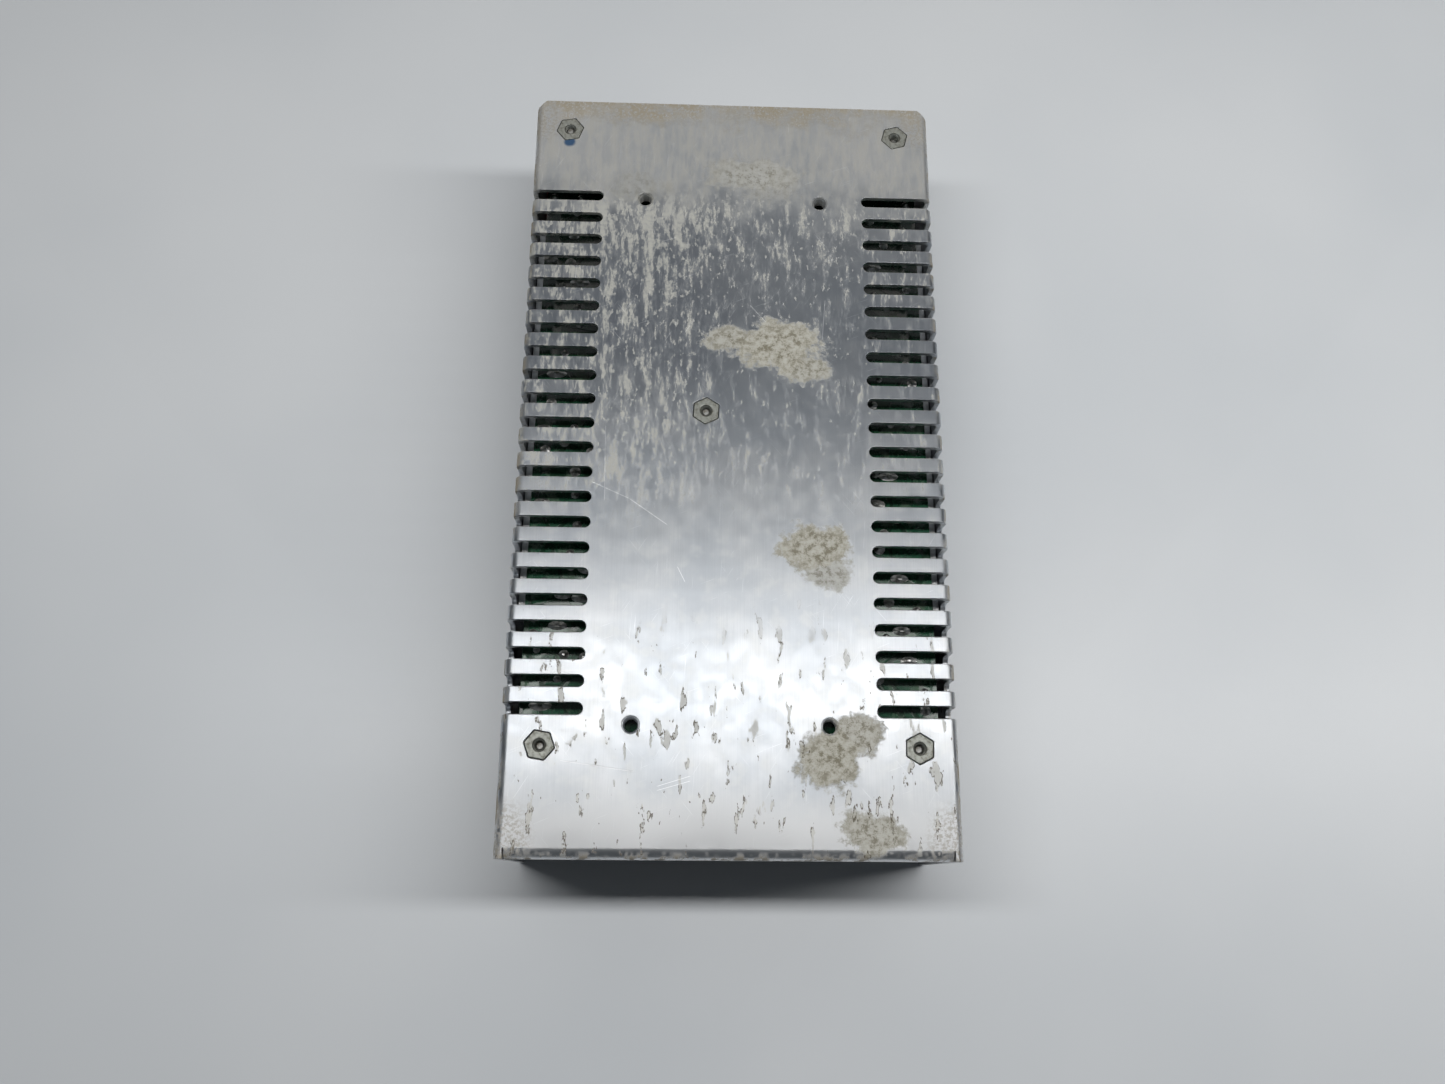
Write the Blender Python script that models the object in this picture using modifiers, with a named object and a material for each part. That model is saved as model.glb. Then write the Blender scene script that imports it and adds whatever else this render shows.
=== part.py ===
"""An enclosed switch-mode power supply that lies on its cover, underside up.

World axes: +X to the right, +Y towards the far end, +Z out of the underside.
The origin is at the middle of the cover's outer face, on which the case rests.
The circuit board hangs below the base plate, so its components point down, to -Z.
"""

import math

import bmesh
import bpy
from mathutils import Matrix, Vector

MM = 0.001
TAU = 2 * math.pi

# ---------------------------------------------------------------- case
CASE_WIDTH = 115 * MM
CASE_LENGTH = 215 * MM
CASE_HEIGHT = 50 * MM
BASE_SHEET = 1.5 * MM
COVER_SHEET = 1.0 * MM
BASE_BEND = 2.5 * MM            # outer radius of the base's bends
COVER_BEND = 1.5 * MM           # outer radius of the cover's bends
GAP = 0.3 * MM                  # between pieces that touch
BEND_STEPS = 3                  # facets of a bend
SLOT_STEPS = 4                  # facets of a slot's round end
CORNER_STEPS = 2                # facets of a moulded corner
RELIEF_STEPS = 5                # facets of the fan's corner reliefs
KNUCKLE_STEPS = 8               # facets of the guard's knuckle
STUD_SIDES = 10                 # facets of a terminal's stud
SMALL_SIDES = 12                # facets of a small screw or hole
HEAD_SIDES = 14                 # facets of a screw head or pin
HOLE_SIDES = 16                 # facets of a tapped hole, lens or can
TUBE_SIDES = 18                 # facets of the fuse and the toroid
DRUM_SIDES = 20                 # facets of a dial or a motor's boss
HUB_SIDES = 21                  # facets of the fan's hub, three for each blade
GRILLE_STEPS = 3                # facets of an arc in the grille's first ring
BORE_SIDES = 32                 # facets of the fan's bore
LEAD_STEPS = 14                 # straight pieces of the fan's lead
FLANGE_HEIGHT = 5 * MM          # near flange, from the plate's outer face
FLANGE_INSET = 2.6 * MM         # from a side wall's outer face to the flange's end
CORNER_CUT = (2.9 * MM, 2.3 * MM)   # sheared far corners of the plate, along X and Y
COVER_SETBACK = 15.5 * MM       # the cover stops short of the terminals by this much
COVER_LIP = 12 * MM

# ---------------------------------------------------------------- base plate features
SLOT_PITCH = 7 * MM
SLOT_WIDTH = 3 * MM
SLOT_LENGTH = 20.4 * MM         # from a side wall's outer face to the slot's inner end
SLOT_DROP = 8 * MM              # how far a slot runs down the side wall
SLOT_FAR_MARGIN = 31.6 * MM     # from the far end to the first slot's middle line
SLOT_NEAR_MARGIN = 34 * MM      # the least from the near end to the last slot's middle line
MOUNT_PITCH_X = 50 * MM
MOUNT_PITCH_Y = 150 * MM
MOUNT_HOLE = 3.7 * MM           # M4 thread
MOUNT_MOUTH = 4.5 * MM
MOUNT_COLLAR = 6.2 * MM
MOUNT_COLLAR_DROP = 2 * MM      # the drawn collar stands this far below the sheet
SIDE_MOUNT_HOLE = 3.7 * MM
SIDE_MOUNT_INSET = 32.5 * MM    # from either end of the case
COVER_SCREW_INSET = 20 * MM     # from either end of the cover
COVER_SCREW_HEIGHT = 6.5 * MM   # above the cover's outer face
COVER_SCREW = (2.5 * MM, 4.9 * MM, 5 * MM)      # shank, head diameter, length

# ---------------------------------------------------------------- board and standoffs
BOARD_SHEET = 1.6 * MM
BOARD_SIDE_GAP = 2.2 * MM       # to the side walls
BOARD_END_GAP = 2.7 * MM        # to the near end of the case
BOARD_FAR_GAP = 4 * MM          # to the far end of the case
STANDOFF_LENGTH = 6 * MM
STANDOFF_FLATS = 6.7 * MM
STANDOFF_SHANK = 5.4 * MM
STANDOFF_HOLE = 2.9 * MM
STANDOFF_INSET_X = 10 * MM      # from the case's side
STANDOFF_INSET_FAR = 9.65 * MM
STANDOFF_INSET_NEAR = 27.24 * MM
STANDOFF_MIDDLE = (-7 * MM, 10 * MM)
STANDOFF_TURNS = (10, 15, 26, 50, 28)   # degrees; they were clinched at any angle
PCB_SCREW = 2.3 * MM            # shank across the thread's root
PCB_SCREW_HEAD = (5.6 * MM, 2.2 * MM)   # diameter, height
PAN_EDGE = 0.4                  # share of a pan head's height that stands straight
PAN_TOP = 0.7                   # share of its diameter that is flat on top
PCB_SCREW_REACH = 4 * MM        # into the standoff

# ---------------------------------------------------------------- terminals
TERMINAL_COUNT = 9
TERMINAL_DEPTH = 14.2 * MM
TERMINAL_HEIGHT = 15.5 * MM
TERMINAL_BASE = 4 * MM          # floor of each compartment, on the board
TERMINAL_WALL = 1.8 * MM        # barriers and back wall
TERMINAL_SCREW_BACK = 5.6 * MM  # screws' distance from the back of the block
TERMINAL_SIDE = 5 * MM          # from the side wall to the block
STATUS_ZONE = 17 * MM           # width kept for the lamp and the trimmer
CLAMP_PLATE = 1 * MM
TERMINAL_SCREW = (3 * MM, 5.8 * MM, 2.4 * MM)   # shank, head diameter, head height
EAR = (2.4 * MM, 4.4 * MM, 3.6 * MM)    # thickness, depth, reach past the barriers
TERMINAL_SLACK = 0.5 * MM       # round a clamp plate
TERMINAL_BITE = 2.7 * MM        # a screw's reach into the block's base
GUARD_SHEET = 1.6 * MM
GUARD_PIN = 1.8 * MM
GUARD_PIN_LENGTH = 1.5 * MM
KNUCKLE_TURN = 140              # degrees either way that the guard wraps its pins
GUARD_SETBACK = 2 * MM          # hinge axis from the back of the block
GUARD_PLAY = 0.4 * MM

# ---------------------------------------------------------------- fan
FAN_SIZE = 60 * MM
FAN_DEPTH = 15 * MM
FAN_WALL = 1.5 * MM             # the least between the bore and the frame's side
FAN_FAR_GAP = 11.5 * MM         # from the frame to the far end of the case
FAN_HOLE_INSET = 5 * MM         # from the frame's sides
FAN_HOLE = 4.3 * MM
FAN_FLANGE = 3 * MM
FAN_CORNER = 3 * MM
FAN_RELIEF = 20                 # degrees from the frame's axes to where its corners are hollow
FAN_HUB = 27 * MM
FAN_TIP_PLAY = 1 * MM
FAN_BLADES = 7
BLADE_SHEET = 1.4 * MM
BLADE_PITCH = 38                # degrees from the rotor's plane
FAN_SCREW = (3.2 * MM, 6 * MM, 9 * MM)  # shank, head diameter, length
MOTOR_PLATE = 2.4 * MM
STRUT = 3.6 * MM
STRUT_TURN = 20                 # degrees from the X axis
HUB_PLAY = 0.8 * MM             # above and below the rotor
GRILLE_FIRST = 7 * MM           # middle radius of the first ring of openings
GRILLE_PITCH = 6 * MM
GRILLE_OPENING = 4 * MM
GRILLE_SPOKE = 12               # degrees left solid at each spoke on the inner ring
GRILLE_SPOKES = 4
VENT_WIDTH = 3 * MM
VENT_PITCH = 14 * MM
VENT_MARGIN = 13 * MM           # from the cover's near edge, and to the fan
VENT_START = 6 * MM             # from the middle of the cover
VENT_LENGTH = 38 * MM
END_VENT_PITCH = 9 * MM
END_VENT_LENGTH = 24 * MM

# ---------------------------------------------------------------- controls
SELECTOR_FROM_FAR = 17.5 * MM   # middle of the selector from the far end
SELECTOR_WINDOW = (15 * MM, 7 * MM)     # along Y and Z
SELECTOR_BODY = (24 * MM, 12 * MM, 8.5 * MM)    # along Y, Z and X
SELECTOR_TRAVEL = 4 * MM
SELECTOR_KNOB = (7 * MM, 5 * MM)
SELECTOR_HEIGHT = 25 * MM       # above the cover's outer face
TRIMMER_SIZE = (6.6 * MM, 4.4 * MM, 6.6 * MM)
TRIMMER_ROTOR = 4.2 * MM
TRIMMER_SLOT = 3.15 * MM        # length of the rotor's slot
TRIMMER_FROM_SIDE = 14.5 * MM
TRIMMER_SEAT = 1.2 * MM         # depth of the rotor's recess
LAMP_DIAMETER = 3 * MM
LAMP_LEG_SPREAD = 1.8 * MM
LAMP_DOME = (60, 30, 0)         # degrees, facets of the lens's dome
LAMP_LENGTH = 5 * MM
LAMP_FROM_SIDE = 6.5 * MM
LAMP_DROP = 4 * MM              # from the board to the lamp's axis
STATUS_INSET = 2.4 * MM         # from the near end of the case to the trimmer and the lamp

# ---------------------------------------------------------------- components on the board
SINK_SHEET = 4 * MM
SINK_NEAR_INSET = 62 * MM       # from the near end of the case
SINK_FAR_INSET = 36 * MM        # from the board's far edge
SINK_LOW_GAP = 2 * MM           # to the top of the cover's lip
DEVICE_SIZE = (15.6 * MM, 20 * MM, 4.6 * MM)    # along Y, Z and X
BRIDGE_SIZE = (22 * MM, 18 * MM, 3.6 * MM)
DEVICE_LEGS = 3
BRIDGE_PLACE = 13 * MM          # middles, from the near end of the heat sink
TRANSISTOR_PLACES = (40 * MM, 64 * MM)
RECTIFIER_PLACES = (25 * MM, 50 * MM)
LEG_SPREAD = 0.7                # outer legs apart, as a share of the device's length
LEG = (1.1 * MM, 0.6 * MM)
LEG_LENGTH = 5 * MM
CAN_DIAMETER = 22 * MM
CAN_CLEARANCE = 5 * MM          # from a can's end to the cover
CAN_SINK_GAP = 3 * MM           # from a can to the devices on the heat sink
CAN_COUNT = 2
CAN_START = 58.5 * MM           # from the near end to the first can
CAN_GAP = 3 * MM                # between two cans
SMALL_CAN = (12.5 * MM, 25 * MM)        # diameter, length
SMALL_CAN_COUNT = 3
SMALL_CAN_GAP = 2.75 * MM       # from the terminal block
CAN_GROOVE = 0.93               # radius of the rolled groove, as a share of the can's
CAN_ROLL = 0.12                 # rolled edge, as a share of the can's radius
SMALL_CAN_PITCH = 14 * MM
SMALL_CAN_START = 6 * MM        # X of the first one
CORE_SIZE = (40 * MM, 37 * MM, 13.6 * MM)       # along X, Y and Z
CORE_LEG = 11 * MM              # middle leg, along Y
CORE_YOKE = 6.5 * MM
CORE_PLACE = (14 * MM, 85.5 * MM)       # X, and Y from the near end
WINDING_HEIGHT = 28 * MM
TOROID_HEIGHT = 12 * MM
OUTPUT_CHOKE = (26 * MM, 47.5 * MM, 13 * MM)    # X, Y from the near end, outer radius
MAINS_CHOKE = (-22 * MM, 44.5 * MM, 10.5 * MM)
TOROID_WALL = 7 * MM
LINE_CAPACITOR = (22 * MM, 9 * MM, 16 * MM)
LINE_CAPACITOR_EDGE = 0.8 * MM
LINE_CAPACITOR_PLACE = (-12.5 * MM, 3.5 * MM)    # X, and gap to the terminal block
FUSE = (5.2 * MM, 20 * MM)      # diameter, length
FUSE_PLACE = (-34.2 * MM, 0.7 * MM)     # X, and gap to the terminal block
FUSE_CLIP = (3.4 * MM, 7 * MM, 7.5 * MM)
PLUG_SIZE = (7.5 * MM, 5.8 * MM, 6.5 * MM)
PLUG_FROM_SIDE = 19 * MM
PLUG_FROM_FAN = 3 * MM          # along Y, from the fan's frame
LEAD_DIAMETER = 1.6 * MM

# ---------------------------------------------------------------- places worked out from the sizes
SIDE = CASE_WIDTH / 2
WALL_IN = SIDE - BASE_SHEET
NEAR = -CASE_LENGTH / 2
FAR = CASE_LENGTH / 2
PLATE_LOW = CASE_HEIGHT - BASE_SHEET
BOARD_HIGH = CASE_HEIGHT - STANDOFF_LENGTH - GAP
BOARD_LOW = BOARD_HIGH - BOARD_SHEET
PARTS_TOP = BOARD_LOW - GAP     # where the components start
COVER_SIDE = WALL_IN - GAP
COVER_NEAR = NEAR + COVER_SETBACK
COVER_FAR = FAR - GAP
BOARD_SIDE = WALL_IN - BOARD_SIDE_GAP
BOARD_NEAR = NEAR + BOARD_END_GAP
BOARD_FAR = FAR - BOARD_FAR_GAP
FAN_Y = FAR - FAN_FAR_GAP - FAN_SIZE / 2
FAN_BORE = FAN_SIZE - 2 * FAN_WALL
FAN_HOLE_PITCH = FAN_SIZE - 2 * FAN_HOLE_INSET
FAN_LOW = COVER_SHEET + GAP
SINK_LOW = COVER_LIP + SINK_LOW_GAP
SINK_NEAR = NEAR + SINK_NEAR_INSET
SELECTOR_Y = FAR - SELECTOR_FROM_FAR
TERMINAL_FRONT = NEAR + GAP
TERMINAL_BACK = TERMINAL_FRONT + TERMINAL_DEPTH
TERMINAL_LOW = PARTS_TOP - TERMINAL_HEIGHT
TERMINAL_FLOOR = PARTS_TOP - TERMINAL_BASE
TERMINAL_LEFT = -WALL_IN + TERMINAL_SIDE
TERMINAL_RIGHT = WALL_IN - STATUS_ZONE
TERMINAL_PITCH = (TERMINAL_RIGHT - TERMINAL_LEFT - 2 * EAR[0] + TERMINAL_WALL) / TERMINAL_COUNT
COMPARTMENT = TERMINAL_PITCH - TERMINAL_WALL
GUARD_Y = TERMINAL_BACK - GUARD_SETBACK
GUARD_Z = TERMINAL_LOW - EAR[2] / 2
STANDOFFS = (
    (-SIDE + STANDOFF_INSET_X, FAR - STANDOFF_INSET_FAR),
    (SIDE - STANDOFF_INSET_X, FAR - STANDOFF_INSET_FAR),
    STANDOFF_MIDDLE,
    (-SIDE + STANDOFF_INSET_X, NEAR + STANDOFF_INSET_NEAR),
    (SIDE - STANDOFF_INSET_X, NEAR + STANDOFF_INSET_NEAR),
)
CORNERS = ((-1, -1), (1, -1), (1, 1), (-1, 1))


# ---------------------------------------------------------------- scene and materials
def clear_scene():
    """Remove every object, so that the script starts from an empty scene."""
    for old in list(bpy.data.objects):
        bpy.data.objects.remove(old, do_unlink=True)


def new_collection(name):
    group = bpy.data.collections.new(name)
    bpy.context.scene.collection.children.link(group)
    return group


clear_scene()
PARTS = new_collection("power_supply")
CUTTERS = new_collection("cutters")


def material(name, colour, roughness, metallic=0.0):
    """A plain Principled material, with one colour for the whole piece."""
    surface = bpy.data.materials.new(name)
    surface.use_nodes = True
    shader = surface.node_tree.nodes["Principled BSDF"]
    shader.inputs["Base Color"].default_value = (*colour, 1)
    shader.inputs["Roughness"].default_value = roughness
    shader.inputs["Metallic"].default_value = metallic
    return surface


ZINC_SHEET = material("zinc_sheet", (0.62, 0.63, 0.64), 0.35, 0.9)
COVER_STEEL = material("cover_steel", (0.58, 0.59, 0.60), 0.4, 0.9)
OLIVE_ZINC = material("olive_zinc", (0.42, 0.40, 0.34), 0.45, 0.8)
SCREW_STEEL = material("screw_steel", (0.66, 0.66, 0.64), 0.3, 0.9)
GREEN_BOARD = material("green_board", (0.05, 0.28, 0.12), 0.35)
BLACK_PLASTIC = material("black_plastic", (0.02, 0.02, 0.022), 0.5)
SMOKED_PLASTIC = material("smoked_plastic", (0.06, 0.06, 0.07), 0.2)
RED_PLASTIC = material("red_plastic", (0.55, 0.03, 0.02), 0.4)
BLUE_PLASTIC = material("blue_plastic", (0.03, 0.12, 0.45), 0.4)
WHITE_PLASTIC = material("white_plastic", (0.8, 0.79, 0.74), 0.45)
LAMP_GREEN = material("lamp_green", (0.2, 0.75, 0.25), 0.15)
CAN_SLEEVE = material("can_sleeve", (0.03, 0.03, 0.05), 0.35)
YELLOW_TAPE = material("yellow_tape", (0.85, 0.6, 0.06), 0.4)
FERRITE = material("ferrite", (0.07, 0.07, 0.075), 0.6)
COPPER_WIRE = material("copper_wire", (0.75, 0.33, 0.14), 0.3, 0.9)
ALUMINIUM = material("aluminium", (0.75, 0.76, 0.77), 0.35, 1.0)
GLASS = material("glass", (0.8, 0.82, 0.82), 0.1)
LEAD_RED = material("lead_red", (0.5, 0.03, 0.03), 0.5)


# ---------------------------------------------------------------- modelling helpers
def keep(name, mesh, surface, place=(0, 0, 0)):
    """Link a named part with its material; place is its origin."""
    part = bpy.data.objects.new(name, mesh)
    part.location = place
    if surface:
        mesh.materials.clear()
        mesh.materials.append(surface)
    PARTS.objects.link(part)
    return part


def tool(mesh, matrix=None):
    """Link a solid that only cuts or joins a part."""
    cutter = bpy.data.objects.new(mesh.name, mesh)
    cutter.matrix_world = matrix or Matrix()
    cutter.hide_render = True
    cutter.display_type = "WIRE"
    CUTTERS.objects.link(cutter)
    return cutter


def boolean(part, operation, tools):
    """Cut the tools out of the part, or join them to it, in one Boolean."""
    group = bpy.data.collections.new(f"{part.name}_{operation.lower()}")
    CUTTERS.children.link(group)
    for one in tools:
        CUTTERS.objects.unlink(one)
        group.objects.link(one)
    modifier = part.modifiers.new(operation.title(), "BOOLEAN")
    modifier.operation = operation
    modifier.solver = "EXACT"
    modifier.operand_type = "COLLECTION"
    modifier.collection = group


def smooth(mesh, angle=35):
    mesh.shade_smooth()
    mesh.set_sharp_from_angle(angle=math.radians(angle))


def box(low, high):
    """Mesh of a box between two corners."""
    low, high = Vector(low), Vector(high)
    bm = bmesh.new()
    bmesh.ops.create_cube(bm, size=1)
    bmesh.ops.scale(bm, vec=high - low, verts=bm.verts)
    bmesh.ops.translate(bm, vec=(low + high) / 2, verts=bm.verts)
    mesh = bpy.data.meshes.new("box")
    bm.to_mesh(mesh)
    bm.free()
    return mesh


def rod(radius, start, end, sides=20, end_radius=None):
    """Mesh of a cylinder, or of a cone, from one point to another."""
    start, end = Vector(start), Vector(end)
    axis = end - start
    bm = bmesh.new()
    bmesh.ops.create_cone(
        bm,
        cap_ends=True,
        segments=sides,
        radius1=radius,
        radius2=radius if end_radius is None else end_radius,
        depth=axis.length,
    )
    turn = axis.to_track_quat("Z", "Y").to_matrix().to_4x4()
    bmesh.ops.transform(bm, matrix=Matrix.Translation((start + end) / 2) @ turn, verts=bm.verts)
    mesh = bpy.data.meshes.new("rod")
    bm.to_mesh(mesh)
    bm.free()
    smooth(mesh)
    return mesh


def turned(profile, sides=24, closed=False):
    """Object turned about Z from a profile that runs down its outer side.

    A closed profile is a ring's section; an open one starts and ends on the axis.
    """
    mesh = bpy.data.meshes.new("turned")
    count = len(profile)
    edges = [(i, i + 1) for i in range(count - 1)]
    if closed:
        edges.append((count - 1, 0))
    mesh.from_pydata([(r, 0, z) for r, z in profile], edges, [])
    shape = bpy.data.objects.new("turned", mesh)
    screw = shape.modifiers.new("Screw", "SCREW")
    screw.steps = sides
    screw.render_steps = sides
    screw.use_merge_vertices = True
    screw.merge_threshold = 0.00001
    return shape


def turned_mesh(profile, sides=24, closed=False):
    """The same as a mesh, for pieces that are cut, joined or copied."""
    return evaluated_mesh(turned(profile, sides, closed))


def evaluated_mesh(source):
    """Mesh of an object with its modifiers or curve filled in; the object is removed."""
    bpy.context.scene.collection.objects.link(source)
    bpy.context.view_layer.update()
    graph = bpy.context.evaluated_depsgraph_get()
    mesh = bpy.data.meshes.new_from_object(source.evaluated_get(graph))
    bpy.data.objects.remove(source)
    bm = bmesh.new()
    bm.from_mesh(mesh)
    bmesh.ops.remove_doubles(bm, verts=bm.verts, dist=0.000002)
    bm.to_mesh(mesh)
    bm.free()
    smooth(mesh)
    return mesh


def slab(outlines, thickness):
    """Mesh of flat outlines with half the thickness on each side of the XY plane."""
    curve = bpy.data.curves.new("slab", "CURVE")
    curve.dimensions = "2D"
    curve.fill_mode = "BOTH"
    curve.extrude = thickness / 2
    for outline in outlines:
        spline = curve.splines.new("POLY")
        spline.points.add(len(outline) - 1)
        for point, (x, y) in zip(spline.points, outline):
            point.co = (x, y, 0, 1)
        spline.use_cyclic_u = True
    return evaluated_mesh(bpy.data.objects.new("slab", curve))


def arc(centre, radius, start, end, steps):
    """Points of an arc; the angles are in degrees."""
    points = []
    for i in range(steps + 1):
        angle = math.radians(start + (end - start) * i / steps)
        points.append((centre[0] + radius * math.cos(angle), centre[1] + radius * math.sin(angle)))
    return points


def axes(origin, x_axis, y_axis):
    """Matrix that lays local X and Y along two world directions."""
    x_axis, y_axis = Vector(x_axis), Vector(y_axis)
    z_axis = x_axis.cross(y_axis)
    turn = Matrix((x_axis, y_axis, z_axis)).transposed().to_4x4()
    return Matrix.Translation(origin) @ turn


def moved(mesh, matrix):
    """A copy of a mesh, moved."""
    copy = mesh.copy()
    copy.transform(matrix)
    return copy


# ---------------------------------------------------------------- sheet metal
def channel(half_width, height, sheet, bend):
    """U section: its web's outer face is at y = 0 and its legs run to y = -height."""
    inner = bend - sheet
    right = [(half_width, -height)]
    right += arc((half_width - bend, -bend), bend, 0, 90, BEND_STEPS)
    left = [(-x, y) for x, y in reversed(right)]
    inside = [(-half_width + sheet, -height)]
    inside += arc((-half_width + bend, -bend), inner, 180, 90, BEND_STEPS)
    return right + left + inside + [(-x, y) for x, y in reversed(inside)]


def angle_section(tongue, leg, sheet, bend):
    """L section: the corner's outer faces lie on the axes, with arms along +X and +Y."""
    outside = [(tongue, 0)] + arc((bend, bend), bend, 270, 180, BEND_STEPS) + [(0, leg)]
    inside = [(sheet, leg)] + arc((bend, bend), bend - sheet, 180, 270, BEND_STEPS) + [(tongue, sheet)]
    return outside + inside


def slot_outline(start, end, width, round_start=False):
    """Slot along +X from start to end, with a round far end."""
    half = width / 2
    outline = arc((end - half, 0), half, -90, 90, SLOT_STEPS)
    if round_start:
        return outline + arc((start + half, 0), half, 90, 270, SLOT_STEPS)
    return outline + [(start, half), (start, -half)]


def slot_rows():
    """Middle lines of the ventilation slots, from the far end on."""
    first = FAR - SLOT_FAR_MARGIN
    count = int((first - NEAR - SLOT_NEAR_MARGIN) / SLOT_PITCH + 1.001)
    return [first - i * SLOT_PITCH for i in range(count)]


def slot_cutters():
    """Slots in the plate, and their runs down both side walls."""
    over = BASE_BEND
    plate = []
    for row in slot_rows():
        for side in (-1, 1):
            outline = slot_outline(-SIDE - over, -SIDE + SLOT_LENGTH, SLOT_WIDTH)
            plate.append([(-side * x, y + row) for x, y in outline][::side])
    depth = BASE_BEND + over
    middle = CASE_HEIGHT - BASE_BEND + depth / 2
    tools = [tool(slab(plate, depth), Matrix.Translation((0, 0, middle)))]
    drop = []
    for row in slot_rows():
        outline = slot_outline(-over, SLOT_DROP, SLOT_WIDTH)
        drop.append([(x, y + row) for x, y in outline])
    for side in (-1, 1):
        place = (side * (SIDE + over - depth / 2), 0, CASE_HEIGHT)
        tools.append(tool(slab(drop, depth), axes(place, (0, 0, -1), (0, 1, 0))))
    return tools


def standoff_cutters():
    """Hexagonal holes that fit the standoffs with a gap."""
    radius = (STANDOFF_FLATS / 2 + GAP / 2) / math.cos(math.pi / 6)
    tools = []
    for (x, y), turn in zip(STANDOFFS, STANDOFF_TURNS):
        high, low = CASE_HEIGHT + BASE_SHEET, PLATE_LOW - BASE_SHEET
        mesh = rod(radius, (0, 0, low), (0, 0, high), 6)
        spin = Matrix.Rotation(math.radians(turn), 4, "Z")
        tools.append(tool(mesh, Matrix.Translation((x, y, 0)) @ spin))
    return tools


def mount_places():
    return [(sx * MOUNT_PITCH_X / 2, sy * MOUNT_PITCH_Y / 2) for sx, sy in CORNERS]


def mount_cutters():
    """Tapped mounting holes with a chamfered mouth."""
    mouth = (MOUNT_MOUTH - MOUNT_HOLE) / 2
    low = PLATE_LOW - 2 * MOUNT_COLLAR_DROP
    high = CASE_HEIGHT + mouth
    profile = [
        (0, high),
        (MOUNT_MOUTH / 2 + mouth, high),
        (MOUNT_HOLE / 2, CASE_HEIGHT - mouth),
        (MOUNT_HOLE / 2, low),
        (0, low),
    ]
    mesh = turned_mesh(profile, HOLE_SIDES)
    return [tool(mesh, Matrix.Translation((x, y, 0))) for x, y in mount_places()]


def side_screw_places():
    """Cover screws: side, and Y."""
    rows = (COVER_NEAR + COVER_SCREW_INSET, COVER_FAR - COVER_SCREW_INSET)
    return [(side, row) for side in (-1, 1) for row in rows]


def screw_seat(shank, head, grow):
    """Countersunk screw: radii of its head and shank with a clearance, and the cone's end along -Z."""
    return head / 2 + grow, shank / 2 + grow, (shank - head) / 2


def base_chassis():
    """The base: plate and side walls in one channel, and the near flange."""
    section = channel(SIDE, CASE_HEIGHT, BASE_SHEET, BASE_BEND)
    mesh = slab([section], CASE_LENGTH)
    mesh.transform(axes((0, 0, CASE_HEIGHT), (1, 0, 0), (0, 0, 1)))
    chassis = keep("base_chassis", mesh, ZINC_SHEET)

    flange_end = SIDE - FLANGE_INSET
    notch_low = (-flange_end - GAP, NEAR - BASE_BEND, CASE_HEIGHT - FLANGE_HEIGHT - BASE_SHEET)
    notch_high = (flange_end + GAP, NEAR + BASE_BEND, CASE_HEIGHT + BASE_SHEET)
    cuts = [tool(box(notch_low, notch_high))]
    cut_x, cut_y = CORNER_CUT
    for side in (-1, 1):
        corner = [
            (side * (SIDE + cut_x), FAR - 2 * cut_y),
            (side * (SIDE + cut_x), FAR + 2 * cut_y),
            (side * (SIDE - 2 * cut_x), FAR + cut_y),
        ][::side]
        place = Matrix.Translation((0, 0, CASE_HEIGHT))
        cuts.append(tool(slab([corner], 2 * BASE_BEND + BASE_SHEET), place))
    boolean(chassis, "DIFFERENCE", cuts)

    tongue = 2 * BASE_BEND
    flange = slab([angle_section(tongue, FLANGE_HEIGHT, BASE_SHEET, BASE_BEND)], 2 * flange_end)
    joins = [tool(flange, axes((0, NEAR, CASE_HEIGHT), (0, 1, 0), (0, 0, -1)))]
    for x, y in mount_places():
        low = (x, y, PLATE_LOW - MOUNT_COLLAR_DROP)
        joins.append(tool(rod(MOUNT_COLLAR / 2, low, (x, y, PLATE_LOW + BASE_SHEET / 2), HOLE_SIDES)))
    boolean(chassis, "UNION", joins)

    cuts = slot_cutters() + standoff_cutters() + mount_cutters()
    for side in (-1, 1):
        for end in (-1, 1):
            y = end * (CASE_LENGTH / 2 - SIDE_MOUNT_INSET)
            start = (side * (SIDE + BASE_SHEET), y, CASE_HEIGHT / 2)
            stop = (side * (WALL_IN - BASE_SHEET), y, CASE_HEIGHT / 2)
            cuts.append(tool(rod(SIDE_MOUNT_HOLE / 2, start, stop, SMALL_SIDES)))
    shank, head = COVER_SCREW[:2]
    wide, narrow, low = screw_seat(shank, head, GAP)
    for side, y in side_screw_places():
        seat = [(0, GAP), (wide + GAP, GAP), (narrow, low), (narrow, -2 * BASE_SHEET)]
        mesh = turned_mesh(seat + [(0, -2 * BASE_SHEET)], SMALL_SIDES)
        place = axes((side * SIDE, y, COVER_SCREW_HEIGHT), (0, side, 0), (0, 0, 1))
        cuts.append(tool(mesh, place))
    half_y, half_z = SELECTOR_WINDOW[0] / 2, SELECTOR_WINDOW[1] / 2
    middle = SELECTOR_Y
    window_low = (-SIDE - BASE_SHEET, middle - half_y, SELECTOR_HEIGHT - half_z)
    window_high = (-WALL_IN + BASE_SHEET, middle + half_y, SELECTOR_HEIGHT + half_z)
    cuts.append(tool(box(window_low, window_high)))
    boolean(chassis, "DIFFERENCE", cuts)
    return chassis


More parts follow.
